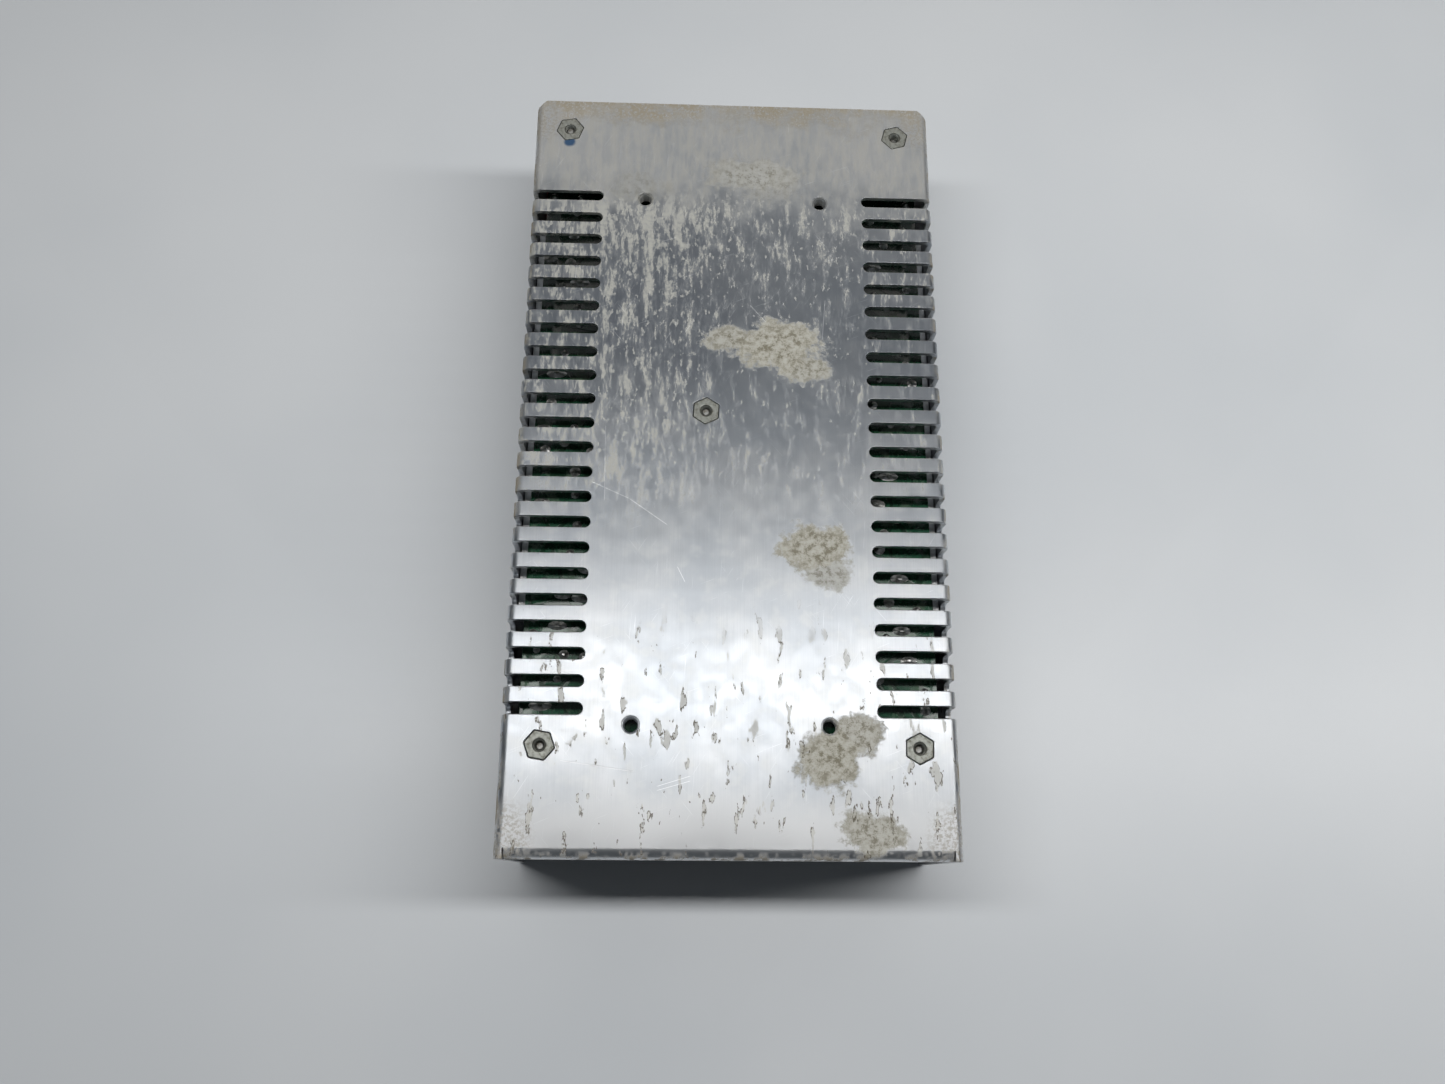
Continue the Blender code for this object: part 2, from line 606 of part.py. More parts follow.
def grille_cutters():
    """Rings of openings over the fan, left joined by spokes."""
    tools = []
    outlines = []
    spoke = math.radians(GRILLE_SPOKE) * GRILLE_FIRST
    count = int((FAN_BORE / 2 - GRILLE_OPENING / 2 - GRILLE_FIRST) / GRILLE_PITCH) + 1
    for number in range(count):
        ring = GRILLE_FIRST + number * GRILLE_PITCH
        half_gap = math.degrees(spoke / ring) / 2
        share = 360 / GRILLE_SPOKES
        for i in range(GRILLE_SPOKES):
            start, end = i * share + half_gap, (i + 1) * share - half_gap
            steps = GRILLE_STEPS + number
            outer = arc((0, 0), ring + GRILLE_OPENING / 2, start, end, steps)
            inner = arc((0, 0), ring - GRILLE_OPENING / 2, end, start, steps)
            outlines.append(outer + inner)
    tools.append(tool(slab(outlines, 4 * COVER_SHEET), Matrix.Translation((0, FAN_Y, 0))))
    return tools


def cover_vents():
    """Rows of slots in the cover's face and in its end wall."""
    tools = []
    rows = int((FAN_Y - FAN_SIZE / 2 - COVER_NEAR - 2 * VENT_MARGIN) / VENT_PITCH) + 1
    outlines = []
    for i in range(rows):
        y = COVER_NEAR + VENT_MARGIN + i * VENT_PITCH
        for side in (-1, 1):
            start, end = VENT_START, VENT_START + VENT_LENGTH
            outline = slot_outline(start, end, VENT_WIDTH, round_start=True)
            outlines.append([(side * px, py + y) for px, py in outline])
    tools.append(tool(slab(outlines, 4 * COVER_SHEET)))
    half = END_VENT_LENGTH / 2
    count = int((COVER_SIDE - END_VENT_PITCH) / END_VENT_PITCH)
    outline = slot_outline(-half, half, VENT_WIDTH, round_start=True)
    outlines = []
    for i in range(-count, count + 1):
        outlines.append([(px, py + i * END_VENT_PITCH) for px, py in outline])
    place = axes((0, COVER_FAR, CASE_HEIGHT / 2), (0, 0, 1), (1, 0, 0))
    tools.append(tool(slab(outlines, 4 * COVER_SHEET), place))
    return tools


def fan_corners():
    return [(sx * FAN_HOLE_PITCH / 2, FAN_Y + sy * FAN_HOLE_PITCH / 2) for sx, sy in CORNERS]


def top_cover():
    """The cover: face and side lips in one channel, and the far end wall."""
    section = channel(COVER_SIDE, COVER_LIP, COVER_SHEET, COVER_BEND)
    mesh = slab([section], COVER_FAR - COVER_NEAR)
    mesh.transform(axes((0, (COVER_FAR + COVER_NEAR) / 2, 0), (1, 0, 0), (0, 0, -1)))
    cover = keep("top_cover", mesh, COVER_STEEL)

    wall_half = COVER_SIDE - COVER_SHEET - 2 * GAP
    notch_low = (-wall_half - GAP, COVER_FAR - COVER_BEND, -COVER_BEND)
    notch_high = (wall_half + GAP, COVER_FAR + COVER_BEND, COVER_SHEET + GAP)
    boolean(cover, "DIFFERENCE", [tool(box(notch_low, notch_high))])

    height = PLATE_LOW - GAP
    wall = slab([angle_section(2 * COVER_BEND, height, COVER_SHEET, COVER_BEND)], 2 * wall_half)
    boolean(cover, "UNION", [tool(wall, axes((0, COVER_FAR, 0), (0, -1, 0), (0, 0, 1)))])

    cuts = grille_cutters() + cover_vents()
    shank = COVER_SCREW[0]
    for side, y in side_screw_places():
        start = (side * SIDE, y, COVER_SCREW_HEIGHT)
        stop = (side * (COVER_SIDE - 2 * COVER_SHEET), y, COVER_SCREW_HEIGHT)
        cuts.append(tool(rod(shank / 2 + GAP, start, stop, SMALL_SIDES)))
    wide, narrow, low = screw_seat(FAN_SCREW[0], FAN_SCREW[1], GAP)
    seat = [(0, GAP), (wide + GAP, GAP), (narrow, low), (narrow, low - COVER_SHEET)]
    mesh = turned_mesh(seat + [(0, low - COVER_SHEET)], SMALL_SIDES)
    for x, y in fan_corners():
        cuts.append(tool(mesh, axes((x, y, 0), (1, 0, 0), (0, -1, 0))))
    boolean(cover, "DIFFERENCE", cuts)
    return cover


# ---------------------------------------------------------------- fasteners and standoffs
def countersunk(size):
    """Countersunk screw's mesh along -Z, with its head's face at z = 0."""
    shank, head, length = size
    wide, narrow, low = screw_seat(shank, head, 0)
    profile = [(0, 0), (wide, 0), (narrow, low), (narrow, -length), (0, -length)]
    return turned_mesh(profile, SMALL_SIDES)


def solid(mesh, joins=(), cuts=()):
    """Mesh with others joined to it and then cut out of it."""
    blank = bpy.data.objects.new("blank", mesh)
    if joins:
        boolean(blank, "UNION", [tool(one) for one in joins])
    if cuts:
        boolean(blank, "DIFFERENCE", [tool(one) for one in cuts])
    return evaluated_mesh(blank)


def cover_screws():
    mesh = countersunk(COVER_SCREW)
    for number, (side, y) in enumerate(side_screw_places(), 1):
        screw = keep(f"cover_screw_{number}", mesh, SCREW_STEEL)
        screw.matrix_world = axes((side * SIDE, y, COVER_SCREW_HEIGHT), (0, side, 0), (0, 0, 1))


def fan_screws():
    mesh = countersunk(FAN_SCREW)
    for number, (x, y) in enumerate(fan_corners(), 1):
        screw = keep(f"fan_screw_{number}", mesh, SCREW_STEEL)
        screw.matrix_world = axes((x, y, 0), (1, 0, 0), (0, -1, 0))


def pcb_standoffs():
    """Hexagonal heads flush in the plate, round shanks down to the board."""
    shank = rod(STANDOFF_SHANK / 2, (0, 0, -STANDOFF_LENGTH), (0, 0, -BASE_SHEET / 2), HEAD_SIDES)
    head = rod(STANDOFF_FLATS / 2 / math.cos(math.pi / 6), (0, 0, -BASE_SHEET), (0, 0, 0), 6)
    bore = rod(STANDOFF_HOLE / 2, (0, 0, -STANDOFF_LENGTH - GAP), (0, 0, GAP), HEAD_SIDES)
    mesh = solid(head, joins=(shank,), cuts=(bore,))
    for number, ((x, y), turn) in enumerate(zip(STANDOFFS, STANDOFF_TURNS), 1):
        standoff = keep(f"pcb_standoff_{number}", mesh, OLIVE_ZINC, (x, y, CASE_HEIGHT))
        standoff.rotation_euler.z = math.radians(turn)


def pcb_screws():
    """Pan-head screws that point up through the board into the standoffs."""
    head, height = PCB_SCREW_HEAD
    top = BOARD_SHEET + 2 * GAP + PCB_SCREW_REACH
    profile = [
        (0, top),
        (PCB_SCREW / 2, top),
        (PCB_SCREW / 2, 0),
        (head / 2, 0),
        (head / 2, -height * PAN_EDGE),
        (head * PAN_TOP / 2, -height),
        (0, -height),
    ]
    mesh = turned_mesh(profile, SMALL_SIDES)
    for number, (x, y) in enumerate(STANDOFFS, 1):
        keep(f"pcb_screw_{number}", mesh, SCREW_STEEL, (x, y, BOARD_LOW - GAP))


# ---------------------------------------------------------------- circuit board and terminals
def circuit_board():
    board = keep(
        "circuit_board",
        box((-BOARD_SIDE, BOARD_NEAR, BOARD_LOW), (BOARD_SIDE, BOARD_FAR, BOARD_HIGH)),
        GREEN_BOARD,
    )
    radius = PCB_SCREW / 2 + 2 * GAP
    cuts = []
    for x, y in STANDOFFS:
        cuts.append(tool(rod(radius, (x, y, BOARD_LOW - GAP), (x, y, BOARD_HIGH + GAP), 12)))
    boolean(board, "DIFFERENCE", cuts)


def terminal_places():
    """Middle lines of the terminal compartments, from the left."""
    first = TERMINAL_LEFT + EAR[0] + COMPARTMENT / 2
    return [first + i * TERMINAL_PITCH for i in range(TERMINAL_COUNT)]


def terminal_block():
    """Barrier block: compartments open to the near end and to the cover's side."""
    thick, depth, reach = EAR
    block = box(
        (TERMINAL_LEFT, TERMINAL_FRONT, TERMINAL_LOW), (TERMINAL_RIGHT, TERMINAL_BACK, PARTS_TOP)
    )
    ears = []
    for start in (TERMINAL_LEFT, TERMINAL_RIGHT - thick):
        low = (start, TERMINAL_BACK - depth, TERMINAL_LOW - reach)
        ears.append(box(low, (start + thick, TERMINAL_BACK, TERMINAL_LOW + thick)))
    cuts = []
    screw_y = TERMINAL_BACK - TERMINAL_SCREW_BACK
    bore = TERMINAL_SCREW[0] / 2 + GAP
    for x in terminal_places():
        half = COMPARTMENT / 2
        low = (x - half, TERMINAL_FRONT - depth, TERMINAL_LOW - depth)
        cuts.append(box(low, (x + half, TERMINAL_BACK - TERMINAL_WALL, TERMINAL_FLOOR)))
        end = (x, screw_y, TERMINAL_FLOOR + TERMINAL_BITE + GAP)
        cuts.append(rod(bore, (x, screw_y, TERMINAL_FLOOR - GAP), end, STUD_SIDES))
    pin = GUARD_PIN / 2 + GUARD_PLAY
    for start in (TERMINAL_LEFT, TERMINAL_RIGHT - thick):
        ends = (start - thick, start + 2 * thick)
        cuts.append(rod(pin, (ends[0], GUARD_Y, GUARD_Z), (ends[1], GUARD_Y, GUARD_Z), HOLE_SIDES))
    keep("terminal_block", solid(block, joins=ears, cuts=cuts), BLACK_PLASTIC)


def terminal_screws():
    """Screws with captive clamp plates."""
    shank, head, height = TERMINAL_SCREW
    half_x = COMPARTMENT / 2 - TERMINAL_SLACK
    half_y = TERMINAL_SCREW_BACK - TERMINAL_WALL - TERMINAL_SLACK
    plate = box((-half_x, -half_y, -GAP - CLAMP_PLATE), (half_x, half_y, -GAP))
    low = -GAP - CLAMP_PLATE - height
    stud = rod(shank / 2, (0, 0, -CLAMP_PLATE), (0, 0, TERMINAL_BITE), STUD_SIDES)
    cap = rod(head / 2, (0, 0, low), (0, 0, -GAP - CLAMP_PLATE / 2), HEAD_SIDES)
    slot = box((-head, -GAP, low - GAP), (head, GAP, low + height / 2))
    mesh = solid(plate, joins=(stud, cap), cuts=(slot,))
    for number, x in enumerate(terminal_places(), 1):
        place = (x, TERMINAL_BACK - TERMINAL_SCREW_BACK, TERMINAL_FLOOR)
        keep(f"terminal_screw_{number}", mesh, SCREW_STEEL, place)


def terminal_cover():
    """Finger guard, hinged about X on two pins in the block's ears."""
    middle = (TERMINAL_LEFT + TERMINAL_RIGHT) / 2
    half = (TERMINAL_RIGHT - TERMINAL_LEFT) / 2 - EAR[0] - GUARD_PLAY
    knuckle = GUARD_PIN / 2 + GUARD_PLAY
    front = TERMINAL_FRONT - GUARD_Y
    outline = arc((0, 0), knuckle, -KNUCKLE_TURN, KNUCKLE_TURN, KNUCKLE_STEPS)
    outline += [(front, GUARD_SHEET / 2), (front, -GUARD_SHEET / 2)]
    flap = moved(slab([outline], 2 * half), axes((0, 0, 0), (0, 1, 0), (0, 0, 1)))
    reach = half + GUARD_PIN_LENGTH + GUARD_PLAY
    pins = rod(GUARD_PIN / 2, (-reach, 0, 0), (reach, 0, 0), HEAD_SIDES)
    guard = solid(flap, joins=(pins,))
    keep("terminal_cover", guard, SMOKED_PLASTIC, (middle, GUARD_Y, GUARD_Z))


def status_lamp():
    """Indicator lamp that looks out of the near end, on two bent legs."""
    radius = LAMP_DIAMETER / 2
    rim = radius + GAP
    length = LAMP_LENGTH
    dome = [math.radians(angle) for angle in LAMP_DOME]
    profile = [(0, length)]
    profile += [(radius * math.cos(a), length - radius + radius * math.sin(a)) for a in dome]
    profile += [(radius, 2 * GAP), (rim, 2 * GAP), (rim, -2 * GAP), (0, -2 * GAP)]
    lens = turned_mesh(profile, HOLE_SIDES)
    lens.transform(axes((0, 0, 0), (1, 0, 0), (0, 0, 1)))
    thick, drop = LEG[1] / 2, LAMP_DROP
    legs = []
    for side in (-1, 1):
        x = side * LAMP_LEG_SPREAD / 2
        legs.append(box((x - thick, 0, 0), (x + thick, 2 * thick + GAP, drop)))
    place = (SIDE - LAMP_FROM_SIDE, NEAR + STATUS_INSET + length, PARTS_TOP - drop)
    keep("status_led", solid(lens, joins=legs), LAMP_GREEN, place)


def trimmer():
    """Output voltage adjuster; its rotor turns about Y."""
    wide, deep, high = TRIMMER_SIZE
    x = SIDE - TRIMMER_FROM_SIDE
    front = NEAR + STATUS_INSET
    middle = PARTS_TOP - high / 2
    radius = TRIMMER_ROTOR / 2
    body = box((x - wide / 2, front, PARTS_TOP - high), (x + wide / 2, front + deep, PARTS_TOP))
    seat = rod(radius + GAP, (x, front - GAP, middle), (x, front + TRIMMER_SEAT, middle), DRUM_SIDES)
    keep("trimmer_body", solid(body, cuts=(seat,)), BLUE_PLASTIC)
    dial = rod(radius, (0, -GAP, 0), (0, TRIMMER_SEAT - GAP, 0), DRUM_SIDES)
    reach = TRIMMER_SLOT / 2
    slot = box((-reach, -2 * GAP, -GAP), (reach, TRIMMER_SEAT / 2 - GAP, GAP))
    keep("trimmer_rotor", solid(dial, cuts=(slot,)), WHITE_PLASTIC, (x, front, middle))


def selector():
    """Voltage selector behind a window of the left wall; its slider moves along Y."""
    along, high, deep = SELECTOR_BODY
    outer = -WALL_IN + GAP
    y, z = SELECTOR_Y, SELECTOR_HEIGHT
    body = box((outer, y - along / 2, z - high / 2), (outer + deep, y + along / 2, z + high / 2))
    well_y, well_z = SELECTOR_WINDOW[0] / 2, SELECTOR_WINDOW[1] / 2
    well = box((outer - GAP, y - well_y, z - well_z), (outer + deep / 2, y + well_y, z + well_z))
    keep("selector_body", solid(body, cuts=(well,)), BLACK_PLASTIC)
    knob_y, knob_z = SELECTOR_KNOB[0] / 2, SELECTOR_KNOB[1] / 2
    inner = outer + deep / 2 - GAP
    place = Vector((-SIDE + GAP, y - SELECTOR_TRAVEL / 2, z))
    knob = box((0, -knob_y, -knob_z), (inner + SIDE - GAP, knob_y, knob_z))
    groove = box((-GAP, -2 * GAP, -2 * knob_z), (3 * GAP, 2 * GAP, 2 * knob_z))
    keep("selector_slider", solid(knob, cuts=(groove,)), RED_PLASTIC, place)


# ---------------------------------------------------------------- fan
def fan_frame():
    """Square frame with two flanges, a round bore, and a motor plate on four struts."""
    half = FAN_SIZE / 2
    outline = []
    for i, (sx, sy) in enumerate(((1, 1), (-1, 1), (-1, -1), (1, -1))):
        centre = (sx * (half - FAN_CORNER), sy * (half - FAN_CORNER))
        outline += arc(centre, FAN_CORNER, 90 * i, 90 * i + 90, CORNER_STEPS)
    block = moved(slab([outline], FAN_DEPTH), Matrix.Translation((0, 0, FAN_DEPTH / 2)))
    cuts = [rod(FAN_BORE / 2, (0, 0, -GAP), (0, 0, FAN_DEPTH + GAP), BORE_SIDES)]
    corner = arc((0, 0), half, FAN_RELIEF, 90 - FAN_RELIEF, RELIEF_STEPS)
    past = half + FAN_FLANGE
    corner += [(corner[-1][0], past), (past, past), (past, corner[0][1])]
    relief = moved(
        slab([corner], FAN_DEPTH - 2 * FAN_FLANGE), Matrix.Translation((0, 0, FAN_DEPTH / 2))
    )
    for i in range(4):
        cuts.append(moved(relief, Matrix.Rotation(i * math.pi / 2, 4, "Z")))
    for sx, sy in CORNERS:
        x, y = sx * FAN_HOLE_PITCH / 2, sy * FAN_HOLE_PITCH / 2
        cuts.append(rod(FAN_HOLE / 2, (x, y, -GAP), (x, y, FAN_DEPTH + GAP), SMALL_SIDES))
    shell = solid(block, cuts=cuts)
    plate_low = FAN_DEPTH - MOTOR_PLATE
    joins = [rod(FAN_HUB / 2, (0, 0, plate_low), (0, 0, FAN_DEPTH), DRUM_SIDES)]
    for i in range(4):
        strut = box((0, -STRUT / 2, plate_low), (FAN_BORE / 2 + GAP, STRUT / 2, FAN_DEPTH - GAP))
        joins.append(moved(strut, Matrix.Rotation(math.radians(90 * i + STRUT_TURN), 4, "Z")))
    keep("fan_frame", solid(shell, joins=joins), BLACK_PLASTIC, (0, FAN_Y, FAN_LOW))


def fan_rotor():
    """Hub with pitched blades, which turns about Z."""
    top = FAN_DEPTH - MOTOR_PLATE - HUB_PLAY
    tip = FAN_BORE / 2 - FAN_TIP_PLAY
    hub = rod(FAN_HUB / 2, (0, 0, HUB_PLAY), (0, 0, top), HUB_SIDES)
    chord = (top - HUB_PLAY - 2 * GAP) / math.sin(math.radians(BLADE_PITCH))
    chord -= BLADE_SHEET / math.tan(math.radians(BLADE_PITCH))
    length = math.sqrt(tip ** 2 - (chord / 2) ** 2)
    middle = Matrix.Translation((0, 0, (top + HUB_PLAY) / 2))
    tilt = Matrix.Rotation(math.radians(BLADE_PITCH), 4, "X")
    blade = box((FAN_HUB / 4, -chord / 2, -BLADE_SHEET / 2), (length, chord / 2, BLADE_SHEET / 2))
    blades = []
    for i in range(FAN_BLADES):
        spin = Matrix.Rotation(TAU * i / FAN_BLADES, 4, "Z")
        blades.append(moved(blade, middle @ spin @ tilt))
    keep("fan_rotor", solid(hub, joins=blades), BLACK_PLASTIC, (0, FAN_Y, FAN_LOW))


def fan_wiring():
    """Plug on the board, and the lead that runs to it from the fan's frame."""
    wide, deep, high = PLUG_SIZE
    x = SIDE - PLUG_FROM_SIDE
    y = FAN_Y - FAN_SIZE / 2 - PLUG_FROM_FAN
    keep(
        "fan_connector",
        box((x - wide / 2, y - deep, PARTS_TOP - high), (x + wide / 2, y, PARTS_TOP)),
        WHITE_PLASTIC,
    )
    radius = LEAD_DIAMETER / 2
    start = Vector((FAN_SIZE / 2 + GAP, FAN_Y - FAN_SIZE / 4, FAN_LOW + FAN_DEPTH / 2))
    end = Vector((x, y - deep / 2, PARTS_TOP - high - GAP))
    pull = (end - start).length / 2
    guides = (start, start + Vector((pull, 0, 0)), end - Vector((0, 0, pull)), end)
    curve = bpy.data.curves.new("fan_lead", "CURVE")
    curve.dimensions = "3D"
    curve.bevel_depth = radius
    curve.bevel_resolution = 2
    curve.use_fill_caps = True
    spline = curve.splines.new("POLY")
    spline.points.add(LEAD_STEPS)
    for i, point in enumerate(spline.points):
        t = i / LEAD_STEPS
        weights = ((1 - t) ** 3, 3 * t * (1 - t) ** 2, 3 * t * t * (1 - t), t ** 3)
        place = sum((guide * w for guide, w in zip(guides, weights)), Vector())
        point.co = (*place, 1)
    lead = bpy.data.objects.new("fan_lead", curve)
    curve.materials.append(LEAD_RED)
    PARTS.objects.link(lead)


# ---------------------------------------------------------------- components on the board
def heat_sinks():
    for name, side in (("heat_sink_left", -1), ("heat_sink_right", 1)):
        outer, inner = side * (WALL_IN - GAP), side * (WALL_IN - GAP - SINK_SHEET)
        low = (min(outer, inner), SINK_NEAR, SINK_LOW)
        high = (max(outer, inner), BOARD_FAR - SINK_FAR_INSET, PARTS_TOP)
        keep(name, box(low, high), ALUMINIUM)


def flat_device(name, side, from_sink_end, size, legs):
    """Power device that lies flat against a heat sink, with its legs in the board."""
    along, high, thick = size
    back = WALL_IN - 2 * GAP - SINK_SHEET
    y = SINK_NEAR + from_sink_end
    top = PARTS_TOP - LEG_LENGTH
    body = box((back - thick, y - along / 2, top - high), (back, y + along / 2, top))
    pins = []
    for i in range(legs):
        row = y + along * LEG_SPREAD * (i / (legs - 1) - 0.5)
        middle = back - thick / 2
        low = (middle - LEG[1] / 2, row - LEG[0] / 2, top - LEG_LENGTH)
        pins.append(box(low, (middle + LEG[1] / 2, row + LEG[0] / 2, PARTS_TOP)))
    mesh = solid(body, joins=pins)
    if side < 0:
        mesh.transform(Matrix.Diagonal((-1, 1, 1, 1)))
        mesh.flip_normals()
    keep(name, mesh, BLACK_PLASTIC)


def power_devices():
    flat_device("bridge_rectifier", -1, BRIDGE_PLACE, BRIDGE_SIZE, DEVICE_LEGS + 1)
    for number, place in enumerate(TRANSISTOR_PLACES, 1):
        flat_device(f"power_transistor_{number}", -1, place, DEVICE_SIZE, DEVICE_LEGS)
    for number, place in enumerate(RECTIFIER_PLACES, 1):
        flat_device(f"output_rectifier_{number}", 1, place, DEVICE_SIZE, DEVICE_LEGS)


def can(name, x, y, diameter, length):
    """Aluminium-can capacitor that hangs from the board, with a rolled groove at its foot."""
    radius = diameter / 2
    groove, edge = radius * CAN_GROOVE, radius * CAN_ROLL
    profile = [
        (0, 0),
        (radius - edge, 0),
        (radius, -2 * edge),
        (groove, -3 * edge),
        (radius, -4 * edge),
        (radius, -length + edge),
        (radius - edge, -length),
        (0, -length),
    ]
    keep(name, turned_mesh(profile, HOLE_SIDES), CAN_SLEEVE, (x, y, PARTS_TOP))


def capacitors():
    radius = CAN_DIAMETER / 2
    x = -(WALL_IN - 2 * GAP - SINK_SHEET - DEVICE_SIZE[2] - CAN_SINK_GAP - radius)
    length = PARTS_TOP - COVER_SHEET - CAN_CLEARANCE
    for i in range(CAN_COUNT):
        y = NEAR + CAN_START + radius + i * (CAN_DIAMETER + CAN_GAP)
        can(f"input_capacitor_{i + 1}", x, y, CAN_DIAMETER, length)
    y = TERMINAL_BACK + SMALL_CAN_GAP + SMALL_CAN[0] / 2
    for i in range(SMALL_CAN_COUNT):
        x = SMALL_CAN_START + i * SMALL_CAN_PITCH
        can(f"output_capacitor_{i + 1}", x, y, *SMALL_CAN)
    wide, deep, high = LINE_CAPACITOR
    x, gap = LINE_CAPACITOR_PLACE
    y = TERMINAL_BACK + gap + deep / 2
    low = (x - wide / 2, y - deep / 2, PARTS_TOP - high)
    mesh = box(low, (x + wide / 2, y + deep / 2, PARTS_TOP))
    film = keep("line_capacitor", mesh, YELLOW_TAPE)
    bevel = film.modifiers.new("Bevel", "BEVEL")
    bevel.width = LINE_CAPACITOR_EDGE
    bevel.segments = 2


def transformer():
    """Ferrite core with two windows, and a winding round its middle leg."""
    wide, deep, high = CORE_SIZE
    x, y = CORE_PLACE[0], NEAR + CORE_PLACE[1]
    z = PARTS_TOP - WINDING_HEIGHT / 2
    window_x = wide / 2 - CORE_YOKE
    leg = CORE_LEG / 2
    window_y = deep / 2 - leg
    core = box((-wide / 2, -deep / 2, -high / 2), (wide / 2, deep / 2, high / 2))
    cuts = []
    for side in (-1, 1):
        near, far = side * leg, side * window_y
        low = (-window_x, min(near, far), -high)
        cuts.append(box(low, (window_x, max(near, far), high)))
    keep("transformer_core", solid(core, cuts=cuts), FERRITE, (x, y, z))
    half_x, half_y = window_x - GAP, window_y - GAP
    half_z = WINDING_HEIGHT / 2
    coil = box((-half_x, -half_y, -half_z), (half_x, half_y, half_z))
    bore = box((-wide, -leg - GAP, -high / 2 - GAP), (wide, leg + GAP, high / 2 + GAP))
    keep("transformer_winding", solid(coil, cuts=(bore,)), YELLOW_TAPE, (x, y, z))


def toroid(name, place, surface):
    """Wound ring that lies flat on the board."""
    x, from_near, radius = place
    wall, half = TOROID_WALL, TOROID_HEIGHT / 2
    middle = radius - wall / 2
    edge = wall / 4
    section = [
        (radius - edge, half),
        (radius, half - edge),
        (radius, -half + edge),
        (radius - edge, -half),
        (middle - wall / 2 + edge, -half),
        (middle - wall / 2, -half + edge),
        (middle - wall / 2, half - edge),
        (middle - wall / 2 + edge, half),
    ]
    ring = turned_mesh(section, TUBE_SIDES, closed=True)
    keep(name, ring, surface, (x, NEAR + from_near, PARTS_TOP - half))


def fuse():
    """Tube fuse along X in two clips that stand on the board."""
    diameter, length = FUSE
    along, across, high = FUSE_CLIP
    x, gap = FUSE_PLACE
    y = TERMINAL_BACK + gap + across / 2
    z = PARTS_TOP - high + across / 2
    tube = rod(diameter / 2, (x - length / 2 + GAP, y, z), (x + length / 2 - GAP, y, z), TUBE_SIDES)
    clips = []
    for start in (x - length / 2, x + length / 2 - along):
        low = (start, y - across / 2, PARTS_TOP - high)
        clips.append(box(low, (start + along, y + across / 2, PARTS_TOP)))
    keep("fuse", solid(tube, joins=clips), GLASS)


def build():
    base_chassis()
    top_cover()
    cover_screws()
    pcb_standoffs()
    pcb_screws()
    circuit_board()
    terminal_block()
    terminal_screws()
    terminal_cover()
    status_lamp()
    trimmer()
    selector()
    fan_frame()
    fan_rotor()
    fan_screws()
    fan_wiring()
    heat_sinks()
    power_devices()
    capacitors()
    transformer()
    toroid("output_choke", OUTPUT_CHOKE, COPPER_WIRE)
    toroid("mains_choke", MAINS_CHOKE, COPPER_WIRE)
    fuse()


build()
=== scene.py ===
"""Looks of the enclosed power supply: fine sheet metal, board, terminals, fan and their finishes.

It lies on its cover with the underside up. Lengths are in millimetres until add() puts a piece into
the scene, which is in metres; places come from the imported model.
"""

import math
import random
from functools import reduce

import bmesh
import bpy
from mathutils import Matrix, Vector


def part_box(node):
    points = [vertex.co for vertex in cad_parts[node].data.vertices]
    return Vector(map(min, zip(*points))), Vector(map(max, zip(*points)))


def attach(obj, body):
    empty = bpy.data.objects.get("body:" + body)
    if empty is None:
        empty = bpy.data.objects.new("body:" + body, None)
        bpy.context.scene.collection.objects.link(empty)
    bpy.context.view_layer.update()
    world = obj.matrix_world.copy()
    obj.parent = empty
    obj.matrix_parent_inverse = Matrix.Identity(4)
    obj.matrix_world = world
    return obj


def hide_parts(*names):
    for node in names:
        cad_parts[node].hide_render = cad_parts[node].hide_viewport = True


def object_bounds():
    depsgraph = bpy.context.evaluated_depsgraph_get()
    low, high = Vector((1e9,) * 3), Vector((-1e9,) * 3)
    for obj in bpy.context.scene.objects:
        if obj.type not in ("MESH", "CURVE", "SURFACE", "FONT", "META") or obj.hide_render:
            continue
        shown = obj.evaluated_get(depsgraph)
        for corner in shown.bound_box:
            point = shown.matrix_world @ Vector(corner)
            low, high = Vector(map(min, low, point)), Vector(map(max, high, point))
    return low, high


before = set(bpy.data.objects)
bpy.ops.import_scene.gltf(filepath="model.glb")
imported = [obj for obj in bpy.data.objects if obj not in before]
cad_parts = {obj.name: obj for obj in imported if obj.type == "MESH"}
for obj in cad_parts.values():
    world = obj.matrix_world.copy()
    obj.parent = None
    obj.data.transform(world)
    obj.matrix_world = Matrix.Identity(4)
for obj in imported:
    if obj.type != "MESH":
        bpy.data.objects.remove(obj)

CAD_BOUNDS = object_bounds()
MM = 0.001
LOW, HIGH = (Vector(corner) / MM for corner in CAD_BOUNDS)
SIDE, NEAR, FAR, TOP = HIGH.x, LOW.y, HIGH.y, HIGH.z
BASE_SHEET = 1.5
COVER_SHEET = 1.0
BASE_BEND = 2.5
COVER_BEND = 1.5
MERGE = 0.001           # points closer than this are one
MOUNT_X, MOUNT_Y = 25, 75               # tapped holes in the underside; MOUNT_Y holds in the sides too
SIDE_HOLE_Z = 25
VENT_SLOT = 3                           # width of every vent slot
VENTS, VENT_PITCH, FIRST_VENT = 22, 7, 75.9
VENT_REACH, VENT_DROP = 20.4, 8         # how far a vent runs in over the plate, and down the wall
FAN_HOLE = 25                           # from the fan's axis, along X and along Y
FAN_BORE, FAN_HUB, BLADE_TIP = 28.5, 13.5, 27.0                # radii
TERMINALS, TERMINAL_PITCH, FIRST_TERMINAL = 9, 9.667, -44.6665
CLAMP_TOP = 36.5
HINGE = (-95.0, 24.5)                   # Y and Z of the finger guard's hinge
M4_PLATE = (1.66, 2.0, 0.7)             # inner radius, outer radius and pitch of a thread
M4_SIDE = (1.62, 1.9, 0.7)
M3_STANDOFF = (1.27, 1.55, 0.5)
BRIGHTEST = 0.285                       # roughness of the smoothest bare metal
